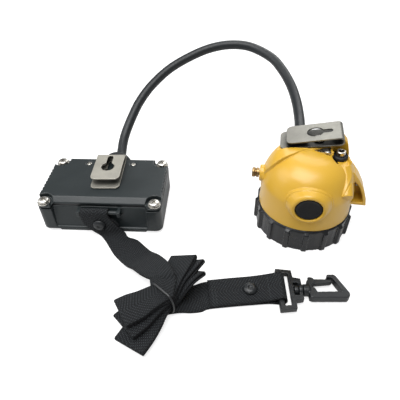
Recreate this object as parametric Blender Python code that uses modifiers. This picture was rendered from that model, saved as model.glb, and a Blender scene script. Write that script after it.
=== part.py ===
"""Miner's cap lamp: belt battery, short arched cable and head piece, with a folded strap and a snap hook.

Metres, +Z up. The battery lies on its back and the head piece stands on its lens ring. The origin is on the
floor, under the middle of everything but the cable. Run with: blender --background --python part.py
"""
import bpy
import bmesh
from math import atan2, ceil, cos, pi, radians, sin, sqrt
from mathutils import Matrix, Vector
from mathutils.kdtree import KDTree

MM = 0.001
GAP = 0.3 * MM                       # between faces that touch on the real lamp
MERGE = 0.00001

# Where the two halves stand, and how the head piece is turned
BATTERY_PLACE = (-72.56 * MM, 41.99 * MM, 0)
HEAD_PLACE = (75.24 * MM, 35.09 * MM, 0)
HEAD_TURN = radians(-7.3)

# Battery case and lid
CASE_LENGTH = 89.4 * MM
CASE_DEPTH = 55.8 * MM
CASE_FOOT = 2.0 * MM                 # the corners stand this far above the floor
CASE_RIM = 21.4 * MM
CASE_WALL = 3.4 * MM
CASE_FLOOR = 3.0 * MM                # height of the inside floor
CASE_CORNER = 4.7 * MM
PAD_LENGTH = 66.0 * MM
GASKET_THICKNESS = 0.8 * MM
LID_HEIGHT = 4.7 * MM
LID_SKIN = 2.5 * MM
LID_EAR = 1.2 * MM                   # lid thickness under the washers
SCREW_X = CASE_LENGTH / 2 - CASE_CORNER
SCREW_Y = CASE_DEPTH / 2 - CASE_CORNER
SCREW_RADIUS = 1.9 * MM
HOLE_CLEARANCE = 0.4 * MM
SCREW_HEAD = 3.8 * MM
SCREW_DEPTH = 12.0 * MM
WASHER_RADIUS = 4.5 * MM
WASHER_THICKNESS = 0.8 * MM
POCKET_CLEARANCE = 1.9 * MM          # lid pocket round a washer
PANEL_HALF = SCREW_X - 6.0 * MM               # front and rear panels run between the screw posts
FRONT_TOP = 4.5 * MM - CASE_DEPTH / 2               # front panel at the rim
FRONT_FOOT = 0.7 * MM - CASE_DEPTH / 2
REAR_PANEL = CASE_DEPTH / 2 - 1.9 * MM
BEVEL_DEPTH = 4.0 * MM               # the lid's wide front bevel
BEVEL_HEIGHT = 2.9 * MM
NOTCHES = 8
NOTCH_PITCH = 3.6 * MM
NOTCH_SIZE = 1.5 * MM
STUD_X = 17.5 * MM
STUD_Y = 20.0 * MM
STUD_RADIUS = 1.9 * MM

# Inside the battery
CELL_RADIUS = 9.2 * MM
CELL_LENGTH = 65.0 * MM
CELL_GAP = 0.5 * MM
CELL_ROW_Y = 1.2 * MM
CRADLE_THICKNESS = 1.2 * MM
STRIP_THICKNESS = 0.6 * MM
BOARD_THICKNESS = 1.2 * MM

# Spring clips: one folded strip each
CLIP_THICKNESS = 1.0 * MM
CLIP_MOUTH = 4.4 * MM
BATTERY_CLIP = {"width": 21.4 * MM, "upper": 32.0 * MM, "lower": 36.0 * MM, "closes": 0.0,
                "corner": 3.4 * MM, "eye": 5.0 * MM, "eye_at": 17.2 * MM, "slot": 2.2 * MM,
                "slot_end": 3.4 * MM, "both": True}
HEAD_CLIP = {"width": 21.5 * MM, "upper": 38.0 * MM, "lower": 42.6 * MM, "closes": 1.6 * MM,
             "corner": 4.0 * MM, "eye": 5.6 * MM, "eye_at": 18.6 * MM, "slot": 2.1 * MM,
             "slot_end": 7.0 * MM, "both": False}
BATTERY_CLIP_FOLD = (0.6 * MM, 24.8 * MM)
BATTERY_CLIP_TURN = radians(92.0)
BATTERY_RIVETS = ((7.0 * MM, -6.4 * MM), (7.0 * MM, 6.4 * MM))     # from the fold, and across
RIVET_RADIUS = 1.6 * MM
RIVET_HEAD = 3.0 * MM
RIVET_HEIGHT = 1.2 * MM

# Battery gland and cable
GLAND_X = 1.0 * MM
GLAND_Z = 16.4 * MM
GLAND_RADIUS = 11.4 * MM
GLAND_LENGTH = 11.6 * MM
GLAND_NOSE = 3.4 * MM
CABLE_RADIUS = 4.0 * MM

# Lug bar, webbing and its rivets
BAR_Y = FRONT_TOP - 4.0 * MM
BAR_Z = 22.0 * MM
BAR_RADIUS = 1.6 * MM
LUG_HALF = 13.4 * MM
LUG_EAR = 2.4 * MM
WEB_WIDTH = 20.0 * MM
WEB_THICKNESS = 1.1 * MM
WEB_PITCH = 1.9 * MM                 # from layer to layer in the hank
CAP_RADIUS = 4.5 * MM
CAP_HEIGHT = 1.8 * MM
SOCKET_HEIGHT = 0.8 * MM

# Hank: the tie's place, and the angle and reach of each fold, top layer first
WAIST = (53.0 * MM, -90.0 * MM)
WAIST_LIFT = 1.8 * MM               # the tie passes under the lowest layer here
FOLDS = ((213, 25.5), (65, 31.5), (226, 27.5), (58, 32.0), (243, 33.0), (50, 26.6), (213, 24.0))
HANK_START = 88
HANK_END = 17
HANK_SETTLES = 22.0 * MM              # from here on the layers lie flat
HANK_LEAD_IN = 9.0 * MM
HANK_LEAD_OUT = 22.0 * MM
TIE_RADIUS = 0.7 * MM
TIE_ANGLE = radians(50.0)

# Swivel snap hook; u runs from the webbing bar to the tip and v across, from the axis
HOOK_PLACE = (125.9 * MM, -77.3 * MM)
HOOK_TURN = radians(2.0)
HOOK_AXIS_Z = 4.0 * MM
FRAME_THICKNESS = 4.0 * MM
FRAME_HALF = 15.6 * MM
FRAME_BAR = 1.7 * MM                 # half the webbing bar's width, and its radius
SLOT_HALF = 12.0 * MM
SLOT_LENGTH = 4.4 * MM
BLOCK_HALF = 8.8 * MM
BLOCK_END = 13.8 * MM
WINDOW = (8.4 * MM, 11.6 * MM, 4.6 * MM)
STEM_RADIUS = 2.0 * MM
STEM_HEAD = 3.2 * MM
STEM_CLEARANCE = 0.35 * MM
COLLAR_RADIUS = 3.9 * MM
COLLAR = (14.1 * MM, 18.4 * MM)
HOOK_THICKNESS = 5.5 * MM
GATE_THICKNESS = 3.1 * MM
GATE_HINGE = (19.6 * MM, 5.6 * MM)
GATE_HUB = 2.2 * MM
GATE_PIN = 0.9 * MM

# Head piece, heights from the lens ring's face
RING_HEIGHT = 18.4 * MM
RING_BORE = 30.3 * MM
RING_VALLEY = 33.2 * MM
RING_BARS = 16
RING_BAR_TOP = 35.0 * MM
RING_BAR_WIDTH = 3.0 * MM
RING_LIP = 28.0 * MM
RING_LIP_HEIGHT = 3.0 * MM
LENS_RADIUS = 29.6 * MM
LENS_THICKNESS = 3.0 * MM
LENS_GASKET = 1.2 * MM
SKIRT_RADIUS = 30.0 * MM
SHELL_WALL = 2.6 * MM
DOME = ((32.3, 18.7), (32.1, 24.0), (31.9, 34.0), (31.6, 39.0), (30.2, 43.5), (28.6, 47.0), (26.4, 50.6),
        (23.4, 54.0), (19.0, 57.0), (13.5, 59.0), (7.0, 59.9))
REAR_DOME = ((32.2, 30.0), (32.1, 38.0), (31.6, 43.0), (29.4, 49.0), (27.0, 53.5), (23.8, 57.0), (19.0, 59.4),
             (12.0, 60.5), (6.0, 60.9))
RIDGE = ((-45.0, 8.0), (-32.6, -3.0), (-29.6, -6.0), (-27.2, -7.7), (-24.2, -8.2), (-21.2, -7.4), (-18.3, -6.0),
         (-15.2, -4.2), (-12.0, -1.9), (-8.8, 0.7), (-5.0, 3.1), (-1.5, 4.2), (4.0, 4.6), (13.0, 3.0), (26.0, -6.0),
         (45.0, -8.0))                # where the rear dome ends in a low ridge, seen from above
PAD = ((-17.0, 44.3), (-17.0, 60.0), (19.0, 66.0), (23.0, 62.8), (24.6, 57.1), (25.4, 44.3))
PAD_FRONT = 7.7 * MM
PAD_REAR = 25.4 * MM
PAD_LIMIT = 29.3 * MM
BUTTON_Z = 39.0 * MM
BUTTON_RADIUS = 8.7 * MM
BUTTON_FACE = -33.6 * MM
BUTTON_TRAVEL = 1.2 * MM
BUTTON_CLEARANCE = 0.3 * MM
BOSS_FACE = -34.2 * MM
BOSS_RADIUS = 11.6 * MM
BOSS_SPREAD = (25.5 * MM, 14.6 * MM, 19.6 * MM)   # half width, half height and depth of its flared foot
POST_Z = 39.6 * MM
POST_RADIUS = 3.45 * MM
POST_TIP = -39.2 * MM
POST_BOSS = 5.75 * MM
POST_BOSS_FACE = -33.9 * MM
POST_THREAD = 2.0 * MM
NUT_RADIUS = 4.2 * MM
HOOD = ((21.0, 57.5), (27.5, 52.5), (33.0, 45.5), (37.4, 38.0), (40.2, 31.0), (41.6, 24.8), (27.0, 24.8))
HOOD_POCKET = ((29.6, 45.6), (34.0, 40.0), (37.2, 33.0), (38.9, 27.2), (30.6, 27.2))
HOOD_FRONT = -7.0 * MM
HOOD_REAR = 6.0 * MM
HOOD_WALL = 2.2 * MM
COLUMN_RADIUS = 7.7 * MM
COLUMN_TOP = (19.2 * MM, 1.0 * MM, 53.0 * MM)
COLUMN_FOOT = (23.6 * MM, -21.0 * MM, 41.5 * MM)
COLUMN_FOOT_RADIUS = 4.6 * MM
BUSH_PLACE = (18.8 * MM, 6.4 * MM)
BUSH_RADIUS = 5.2 * MM
BUSH_TOP = 58.0 * MM
BUSH_SEAT = 54.0 * MM
BUSH_ROOM = 5.9 * MM
TUBE_RADIUS = 3.1 * MM
TUBE_BORE = 1.9 * MM
TUBE_TOP = 59.8 * MM
HEAD_CLIP_FOLD = (20.0 * MM, 15.8 * MM, 64.9 * MM)
HEAD_CLIP_TILT = radians(-10.8)      # the mouth end is the lower one
HEAD_CLIP_SCREW = (16.3 * MM, -2.8 * MM)
HEAD_SCREW = 3.8 * MM
TAB = ((-20.2, -11.4), (-8.9, -8.2), (-9.3, -16.4))                # in the head clip's frame
TAB_LEVEL = -2.6 * MM
TAB_THICKNESS = 0.8 * MM
TAB_SCREW = (-11.4 * MM, -14.2 * MM)
TAB_SCREW_HEAD = 1.8 * MM
HEAD_GLAND_Z = 52.0 * MM
HEAD_GLAND_TURN = radians(10.0)
HEAD_GLAND_BOSS = 7.4 * MM
HEAD_GLAND_SEAT = 31.0 * MM
HEAD_GLAND_TIP = 41.3 * MM

# Inside the head piece
REFLECTOR_RIM = 26.4 * MM
REFLECTOR_NECK = 4.4 * MM
REFLECTOR_WALL = 1.0 * MM
SINK_RADIUS = 26.4 * MM
LEDGE_RADIUS = 25.0 * MM
SINK_HEIGHT = 4.0 * MM
LED_RADIUS = 2.5 * MM

# Cable route from the battery gland to the head gland, measured from the battery's middle
ROUTE = ((0.9, 50.0, 17.5), (0.7, 59.6, 20.8), (1.9, 68.2, 25.1), (6.4, 80.6, 33.9),
         (12.3, 94.0, 42.4), (21.9, 108.4, 50.9), (36.8, 123.4, 59.6), (55.3, 134.0, 66.9), (73.5, 140.7, 72.1),
         (91.9, 142.9, 74.7), (110.4, 139.2, 74.4), (128.0, 125.2, 71.0), (137.1, 109.7, 66.6),
         (143.8, 91.4, 60.8), (146.8, 71.5, 56.0), (147.2, 52.0, 53.2), (145.9, 34.9, 52.0))
ROUTE_STEP = 17.0 * MM

# Finishes: colour, roughness, metallic
CHARCOAL = ((0.045, 0.055, 0.06), 0.5, 0.0)
YELLOW = ((0.76, 0.46, 0.045), 0.3, 0.0)
RUBBER = ((0.02, 0.022, 0.025), 0.7, 0.0)
WEBBING = ((0.018, 0.019, 0.022), 0.85, 0.0)
STEEL = ((0.55, 0.54, 0.5), 0.32, 1.0)
BRASS = ((0.5, 0.36, 0.16), 0.35, 1.0)
CLEAR = ((0.85, 0.9, 0.92), 0.05, 0.0)
MIRROR = ((0.9, 0.9, 0.9), 0.08, 1.0)
ALUMINIUM = ((0.75, 0.75, 0.76), 0.4, 1.0)
BOARD_GREEN = ((0.03, 0.2, 0.08), 0.5, 0.0)
CELL_BLUE = ((0.05, 0.16, 0.5), 0.4, 0.0)
WHITE = ((0.85, 0.85, 0.8), 0.5, 0.0)


def collection(name):
    """A collection in the scene."""
    found = bpy.data.collections.new(name)
    bpy.context.scene.collection.children.link(found)
    return found


def frame_empty(name, place, turn=0.0, tilt=0.0, parent=None):
    """An empty that carries a group of pieces."""
    empty = bpy.data.objects.new(name, None)
    PARTS.objects.link(empty)
    empty.parent = parent
    empty.location = place
    empty.rotation_euler = (0, tilt, turn)
    return empty


def add(name, data, parent, finish=None):
    """A part with its own material, or a helper for cuts and joins when it has no finish."""
    item = bpy.data.objects.new(name, data)
    item.parent = parent
    if finish is None:
        HELPERS.objects.link(item)
        item.hide_render = True
        item.display_type = 'WIRE'
        return item
    PARTS.objects.link(item)
    colour, roughness, metallic = finish
    material = bpy.data.materials.new(name)
    material.use_nodes = True
    shader = material.node_tree.nodes["Principled BSDF"]
    shader.inputs["Base Color"].default_value = (*colour, 1)
    shader.inputs["Roughness"].default_value = roughness
    shader.inputs["Metallic"].default_value = metallic
    data.materials.append(material)
    return item


def mesh_from(name, bm, smooth=True):
    """A mesh with round stretches shaded smooth."""
    bmesh.ops.recalc_face_normals(bm, faces=bm.faces)
    mesh = bpy.data.meshes.new(name)
    bm.to_mesh(mesh)
    bm.free()
    if smooth:
        mesh.shade_smooth()
        mesh.set_sharp_from_angle(angle=radians(35))
    return mesh


def block(name, low, high, parent, finish=None, corner=0.0, upright_only=True, segments=4):
    """A box between two corners; its upright edges, or all of them, can be rounded."""
    bm = bmesh.new()
    bmesh.ops.create_cube(bm, size=1)
    size = [b - a for a, b in zip(low, high)]
    bmesh.ops.scale(bm, vec=size, verts=bm.verts)
    bmesh.ops.translate(bm, vec=[(a + b) / 2 for a, b in zip(low, high)], verts=bm.verts)
    if corner:
        edges = [e for e in bm.edges
                 if not upright_only or abs(e.verts[0].co.z - e.verts[1].co.z) > MERGE]
        bmesh.ops.bevel(bm, geom=edges, offset=corner, segments=segments, affect='EDGES', profile=0.5)
    return add(name, mesh_from(name, bm), parent, finish)


def rod(name, radius, start, end, parent, finish=None, end_radius=None, sides=24):
    """A round bar or cone between two points."""
    start, end = Vector(start), Vector(end)
    axis = end - start
    bm = bmesh.new()
    bmesh.ops.create_cone(bm, cap_ends=True, segments=sides, radius1=radius,
                          radius2=radius if end_radius is None else end_radius, depth=axis.length)
    turn = axis.to_track_quat('Z', 'Y').to_matrix().to_4x4()
    bmesh.ops.transform(bm, matrix=Matrix.Translation((start + end) / 2) @ turn, verts=bm.verts)
    return add(name, mesh_from(name, bm), parent, finish)


def turned(name, profile, parent, finish=None, closed=False, steps=32):
    """A turned shape: a profile of (radius, height), run down its outer side, with a Screw modifier."""
    mesh = bpy.data.meshes.new(name)
    last = len(profile)
    edges = [(i, i + 1) for i in range(last - 1)] + ([(last - 1, 0)] if closed else [])
    mesh.from_pydata([(r, 0, z) for r, z in profile], edges, [])
    item = add(name, mesh, parent, finish)
    screw = item.modifiers.new("turn", 'SCREW')
    screw.steps = screw.render_steps = steps
    screw.use_merge_vertices = True
    screw.merge_threshold = MERGE
    screw.use_smooth_shade = False
    return item


def flat(name, outline, thickness, parent, finish=None, holes=(), place=None):
    """A flat outline with holes, extruded to its thickness about its own plane, as a mesh."""
    curve = bpy.data.curves.new(name, 'CURVE')
    curve.dimensions = '2D'
    curve.fill_mode = 'BOTH'
    curve.extrude = thickness / 2
    for points in (outline, *holes):
        spline = curve.splines.new('POLY')
        spline.points.add(len(points) - 1)
        for point, (x, y) in zip(spline.points, points):
            point.co = (x, y, 0, 1)
        spline.use_cyclic_u = True
    guide = bpy.data.objects.new(name + "_guide", curve)
    bpy.context.scene.collection.objects.link(guide)
    bpy.context.view_layer.update()
    raw = bpy.data.meshes.new_from_object(guide.evaluated_get(bpy.context.evaluated_depsgraph_get()))
    bpy.data.objects.remove(guide)
    bm = bmesh.new()
    bm.from_mesh(raw)
    bpy.data.meshes.remove(raw)
    bmesh.ops.remove_doubles(bm, verts=bm.verts, dist=MERGE)
    if place is not None:
        bmesh.ops.transform(bm, matrix=place, verts=bm.verts)
    return add(name, mesh_from(name, bm), parent, finish)


def combine(item, others, operation):
    """Join or cut with helpers, one exact Boolean each."""
    for other in others:
        step = item.modifiers.new(other.name, 'BOOLEAN')
        step.operation = operation
        step.solver = 'EXACT'
        step.object = other
    return item


def join(item, *others):
    """Boolean union with each helper."""
    return combine(item, others, 'UNION')


def cut(item, *others):
    """Boolean difference with each helper."""
    return combine(item, others, 'DIFFERENCE')


def arc(centre, radius, start, end, count):
    """Points on an arc in degrees, ends included."""
    turns = [radians(start + (end - start) * i / (count - 1)) for i in range(count)]
    return [(centre[0] + radius * cos(t), centre[1] + radius * sin(t)) for t in turns]


def ribbon(name, rails, parent, finish=WEBBING):
    """Webbing: an open strip between two rails, with Solidify for its thickness."""
    bm = bmesh.new()
    rows = [(bm.verts.new(left), bm.verts.new(right)) for left, right in rails]
    for (a, b), (c, d) in zip(rows, rows[1:]):
        bm.faces.new((a, b, d, c))
    mesh = bpy.data.meshes.new(name)
    bm.to_mesh(mesh)
    bm.free()
    item = add(name, mesh, parent, finish)
    wall = item.modifiers.new("thickness", 'SOLIDIFY')
    wall.thickness = WEB_THICKNESS
    wall.offset = 0
    wall.use_even_offset = True
    return item


def corners():
    """The four lid-screw places, front left first."""
    return [(x * SCREW_X, y * SCREW_Y) for y in (-1, 1) for x in (-1, 1)]


def front_y(z):
    """The sloping front panel at a height."""
    return FRONT_FOOT + (FRONT_TOP - FRONT_FOOT) * (z - CASE_FOOT) / (CASE_RIM - CASE_FOOT)


# ---------------------------------------------------------------------------------------------- battery pack

def front_panel_cutter(name, low_z, high_z, depth=12.0 * MM):
    """A slanted block in front of the panel between the screw posts."""
    side = [(front_y(low_z), low_z), (front_y(high_z), high_z), (front_y(high_z) - depth, high_z),
            (front_y(high_z) - depth, low_z)]
    stand = Matrix(((0, 0, 1, 0), (1, 0, 0, 0), (0, 1, 0, 0), (0, 0, 0, 1)))
    return flat(name, side, 2 * PANEL_HALF, BATTERY, place=stand)


def battery_case():
    """Moulded tray with screw posts, base pad, lug bar for the strap and a boss for the cable gland."""
    x, y = CASE_LENGTH / 2, CASE_DEPTH / 2
    case = block("battery_case", (-x, -y, CASE_FOOT), (x, y, CASE_RIM), BATTERY, CHARCOAL, CASE_CORNER)
    cutter = front_panel_cutter("case_front_cut", CASE_FOOT + 2.5 * MM, CASE_RIM + 1 * MM)
    rear = block("case_rear_cut", (-PANEL_HALF, REAR_PANEL, CASE_FOOT - 1 * MM),
                 (PANEL_HALF, REAR_PANEL + 9 * MM, CASE_RIM + 1 * MM), BATTERY)
    cavity = block("case_cavity", (-x + CASE_WALL, FRONT_TOP + CASE_WALL, CASE_FLOOR + 1.5 * MM),
                   (x - CASE_WALL, REAR_PANEL - CASE_WALL, CASE_RIM + 1 * MM), BATTERY)
    cut(case, cutter, rear, cavity)
    foot = CASE_FOOT + 2.0 * MM
    pad = block("case_pad", (-PAD_LENGTH / 2, FRONT_FOOT + 0.2 * MM, 0), (PAD_LENGTH / 2, REAR_PANEL, foot),
                BATTERY, corner=1.2 * MM, segments=2)
    join(case, pad)
    for i, (px, py) in enumerate(corners()):
        join(case, rod(f"case_post_{i + 1}", CASE_CORNER - 0.02 * MM, (px, py, CASE_FLOOR),
                       (px, py, CASE_RIM), BATTERY))
    for side in (-1, 1):
        near, far = side * LUG_HALF, side * (LUG_HALF + LUG_EAR)
        join(case, block(f"lug_ear_{side}", (min(near, far), BAR_Y - BAR_RADIUS - 0.6 * MM, BAR_Z - 5.5 * MM),
                         (max(near, far), FRONT_TOP + 1 * MM, CASE_RIM - 0.2 * MM), BATTERY))
    reach = LUG_HALF + LUG_EAR / 2
    join(case, rod("lug_bar", BAR_RADIUS, (-reach, BAR_Y, BAR_Z - 2.5 * MM), (reach, BAR_Y, BAR_Z - 2.5 * MM),
                   BATTERY, sides=16))
    depth = CASE_RIM - SCREW_DEPTH - 1 * MM
    for i, (px, py) in enumerate(corners()):
        cut(case, rod(f"case_hole_{i + 1}", SCREW_RADIUS + HOLE_CLEARANCE, (px, py, depth),
                      (px, py, CASE_RIM + 1 * MM), BATTERY, sides=20))
    cut(case, rod("cable_entry", CABLE_RADIUS, (GLAND_X, REAR_PANEL - 6 * MM, GLAND_Z),
                  (GLAND_X, REAR_PANEL + 1 * MM, GLAND_Z), BATTERY))
    return case


def lid_gasket():
    """Flat die-cut gasket between the rim and the lid."""
    low = CASE_RIM + GAP
    high = low + GASKET_THICKNESS
    x = CASE_LENGTH / 2 - 0.8 * MM
    gasket = block("lid_gasket", (-x, FRONT_TOP + 0.6 * MM, low), (x, REAR_PANEL - 0.6 * MM, high), BATTERY,
                   RUBBER, CASE_CORNER)
    inner = block("gasket_window", (-36.5 * MM, FRONT_TOP + CASE_WALL, low - MM),
                  (36.5 * MM, REAR_PANEL - CASE_WALL, high + MM), BATTERY)
    cut(gasket, inner)
    for i, (px, py) in enumerate(corners()):
        cut(gasket, rod(f"gasket_hole_{i + 1}", CASE_CORNER - 1.2 * MM, (px, py, low - MM), (px, py, high + MM),
                        BATTERY, sides=20))
    return gasket


LID_BOTTOM = CASE_RIM + GAP + GASKET_THICKNESS + GAP
LID_TOP = LID_BOTTOM + LID_HEIGHT
EAR_TOP = LID_BOTTOM + LID_EAR


def battery_lid():
    """Lid with screw pockets at its corners, a wide front bevel and grip notches along its ends."""
    x, y = CASE_LENGTH / 2, CASE_DEPTH / 2
    lid = block("battery_lid", (-x, -y, LID_BOTTOM), (x, y, LID_TOP), BATTERY, CHARCOAL, CASE_CORNER)
    top = LID_TOP + 1 * MM
    front = block("lid_front_cut", (-PANEL_HALF, -y - 1 * MM, LID_BOTTOM - MM), (PANEL_HALF, FRONT_TOP, top),
                  BATTERY)
    wide = PANEL_HALF + 1.6 * MM
    rear = block("lid_rear_cut", (-wide, REAR_PANEL, LID_BOTTOM - MM), (wide, y + MM, top), BATTERY)
    bevel = [(FRONT_TOP - MM, LID_TOP - BEVEL_HEIGHT), (FRONT_TOP, LID_TOP - BEVEL_HEIGHT),
             (FRONT_TOP + BEVEL_DEPTH, LID_TOP), (FRONT_TOP + BEVEL_DEPTH, top), (FRONT_TOP - MM, top)]
    stand = Matrix(((0, 0, 1, 0), (1, 0, 0, 0), (0, 1, 0, 0), (0, 0, 0, 1)))
    slope = flat("lid_bevel_cut", bevel, CASE_LENGTH + 2 * MM, BATTERY, place=stand)
    ceiling = LID_TOP - LID_SKIN
    hollow = block("lid_hollow", (-37 * MM, -17.6 * MM, LID_BOTTOM - MM), (37 * MM, 20.1 * MM, ceiling), BATTERY)
    cut(lid, front, rear, slope, hollow)
    for i, (px, py) in enumerate(corners()):
        cut(lid, rod(f"lid_pocket_{i + 1}", WASHER_RADIUS + POCKET_CLEARANCE, (px, py, EAR_TOP), (px, py, top),
                     BATTERY))
        cut(lid, rod(f"lid_hole_{i + 1}", SCREW_RADIUS + HOLE_CLEARANCE, (px, py, LID_BOTTOM - MM),
                     (px, py, top), BATTERY, sides=20))
    start = -(NOTCHES - 1) / 2 * NOTCH_PITCH
    for side in (-1, 1):
        for i in range(NOTCHES):
            place = (side * x, start + i * NOTCH_PITCH)
            cut(lid, rod(f"lid_notch_{side}_{i}", NOTCH_SIZE / 2, (*place, LID_BOTTOM + 1.6 * MM), (*place, top),
                         BATTERY, sides=8))
    for i, side in enumerate((-1, 1)):
        place = (side * STUD_X, STUD_Y)
        cut(lid, rod(f"stud_recess_{i + 1}", STUD_RADIUS + 0.8 * MM, (*place, LID_TOP - 0.9 * MM), (*place, top),
                     BATTERY, sides=24))
        cut(lid, rod(f"stud_hole_{i + 1}", 1.3 * MM, (*place, LID_TOP - 2.0 * MM), (*place, top), BATTERY,
                     sides=16))
    for i, (away, across) in enumerate(BATTERY_RIVETS):
        cut(lid, rod(f"clip_rivet_hole_{i + 1}", RIVET_RADIUS + HOLE_CLEARANCE, (-away, across, -2.4 * MM),
                     (-away, across, MM), BATTERY_GRIP, sides=20))
    return lid


def cross_head(name, radius, height, shank, depth, place, parent, bottom, recess=0.55):
    """Pan-head screw with a cross recess, standing on a height."""
    top = bottom + height
    profile = [(0, top), (radius * 0.45, top - height * 0.06), (radius * 0.8, top - height * 0.28),
               (radius, top - height * 0.62), (radius, bottom), (shank, bottom), (shank, bottom - depth),
               (0, bottom - depth)]
    screw = turned(name, profile, parent, STEEL, steps=14)
    screw.location = (*place, 0)
    arm, half = radius * recess, radius * 0.13
    for i, turn in enumerate((radians(35), radians(125))):
        arm_cut = block(f"{name}_recess_{i}", (-arm, -half, top - height * 0.55), (arm, half, top + MM), parent)
        arm_cut.location = (*place, 0)
        arm_cut.rotation_euler = (0, 0, turn)
        cut(screw, arm_cut)
    return screw


def lid_fasteners():
    """Four lid screws with washers, and two small studs in the lid."""
    for i, (px, py) in enumerate(corners()):
        low = EAR_TOP + GAP
        washer = turned(f"lid_washer_{i + 1}",
                        [(WASHER_RADIUS, low + WASHER_THICKNESS), (WASHER_RADIUS, low),
                         (SCREW_RADIUS + HOLE_CLEARANCE, low),
                         (SCREW_RADIUS + HOLE_CLEARANCE, low + WASHER_THICKNESS)],
                        BATTERY, STEEL, closed=True, steps=20)
        washer.location = (px, py, 0)
        cross_head(f"lid_screw_{i + 1}", SCREW_HEAD, 2.3 * MM, SCREW_RADIUS, SCREW_DEPTH, (px, py), BATTERY,
                   low + WASHER_THICKNESS + GAP)
    for i, side in enumerate((-1, 1)):
        head = LID_TOP - 0.6 * MM
        stud = turned(f"lid_stud_{i + 1}",
                      [(0, head - 0.3 * MM), (0.6 * MM, head - 0.3 * MM), (0.6 * MM, head + 0.5 * MM),
                       (STUD_RADIUS - 0.3 * MM, head + 0.5 * MM), (STUD_RADIUS, head + 0.1 * MM),
                       (STUD_RADIUS, head), (1.0 * MM, head), (1.0 * MM, head - 0.9 * MM), (0, head - 0.9 * MM)],
                      BATTERY, STEEL, steps=12)
        stud.location = (side * STUD_X, STUD_Y, 0)


def spring_clip(name, size, holes, parent):
    """Folded spring clip: upper leaf, round fold and a longer lower leaf, with a keyhole in the upper leaf.

    It has its fold at the origin, its mouth towards -X and screw or rivet holes in its lower leaf.
    """
    inner = CLIP_MOUTH / 2
    outer = inner + CLIP_THICKNESS
    high = 2 * outer
    upper_end = (-size["upper"], high - size["closes"])
    outline = ([(-size["lower"], 0)] + arc((-outer, outer), outer, -90, 90, 11)
               + [upper_end, (upper_end[0], upper_end[1] - CLIP_THICKNESS)]
               + arc((-outer, outer), inner, 90, -90, 11) + [(-size["lower"], CLIP_THICKNESS)])
    half = size["width"] / 2
    stand = Matrix(((1, 0, 0, 0), (0, 0, -1, 0), (0, 1, 0, 0), (0, 0, 0, 1)))
    clip = flat(name, outline, size["width"], parent, STEEL, place=stand)
    eye, eye_at, slot = size["eye"], size["eye_at"], size["slot"]
    spread = atan2(slot, sqrt(eye ** 2 - slot ** 2)) * 180 / pi
    keyhole = (arc((-eye_at, 0), eye, spread, 360 - spread, 19)
               + arc((-size["slot_end"] - slot, 0), slot, -90, 90, 9))
    top = high + 2 * MM
    tools = [flat(name + "_keyhole", keyhole, top - outer, parent, place=lift((top + outer) / 2))]
    if size["both"]:
        tools.append(flat(name + "_keyhole_below", keyhole, outer + MM, parent, place=lift((outer - MM) / 2)))
    for i, (away, across) in enumerate(holes):
        tools.append(rod(f"{name}_hole_{i + 1}", RIVET_RADIUS + HOLE_CLEARANCE, (-away, across, -MM),
                         (-away, across, outer), parent, sides=20))
    c = size["corner"]
    for side in (-1, 1):
        for end, low, up in ((size["upper"], outer, top), (size["lower"], -MM, outer)):
            round_off = [(x, side * y) for x, y in arc((c - end, half - c), c, 90, 180, 5)]
            corner = ([(-end - MM, side * (half - c)), (-end - MM, side * (half + MM)), (c - end, side * (half + MM))]
                      + round_off)
            tools.append(flat(f"{name}_corner_{side}_{end}", corner, up - low, parent, place=lift((low + up) / 2)))
    return cut(clip, *tools)


def lift(height):
    """A move straight up."""
    return Matrix.Translation((0, 0, height))


def battery_clip_set():
    """The battery's clip and the two rivets that hold its lower leaf."""
    spring_clip("battery_clip", BATTERY_CLIP, BATTERY_RIVETS, BATTERY_GRIP)
    for i, (away, across) in enumerate(BATTERY_RIVETS):
        cross_head(f"battery_clip_rivet_{i + 1}", RIVET_HEAD, RIVET_HEIGHT, RIVET_RADIUS, 2.9 * MM, (-away, across),
                   BATTERY_GRIP, CLIP_THICKNESS + GAP)


def battery_gland():
    """Rubber cable gland: a thick flange and a short tapered nose on the rear wall."""
    y0 = REAR_PANEL + GAP
    tip = y0 + GLAND_LENGTH + GLAND_NOSE
    profile = [(0, tip), (CABLE_RADIUS + 1.2 * MM, tip), (CABLE_RADIUS + 3.0 * MM, y0 + GLAND_LENGTH + 1 * MM),
               (GLAND_RADIUS - 3 * MM, y0 + GLAND_LENGTH), (GLAND_RADIUS - 0.8 * MM, y0 + GLAND_LENGTH - 1.6 * MM),
               (GLAND_RADIUS, y0 + GLAND_LENGTH - 4 * MM), (GLAND_RADIUS, y0), (0, y0)]
    gland = turned("battery_gland", profile, BATTERY, RUBBER, steps=28)
    gland.rotation_euler = (radians(-90), 0, 0)
    gland.location = (GLAND_X, 0, GLAND_Z)


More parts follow.
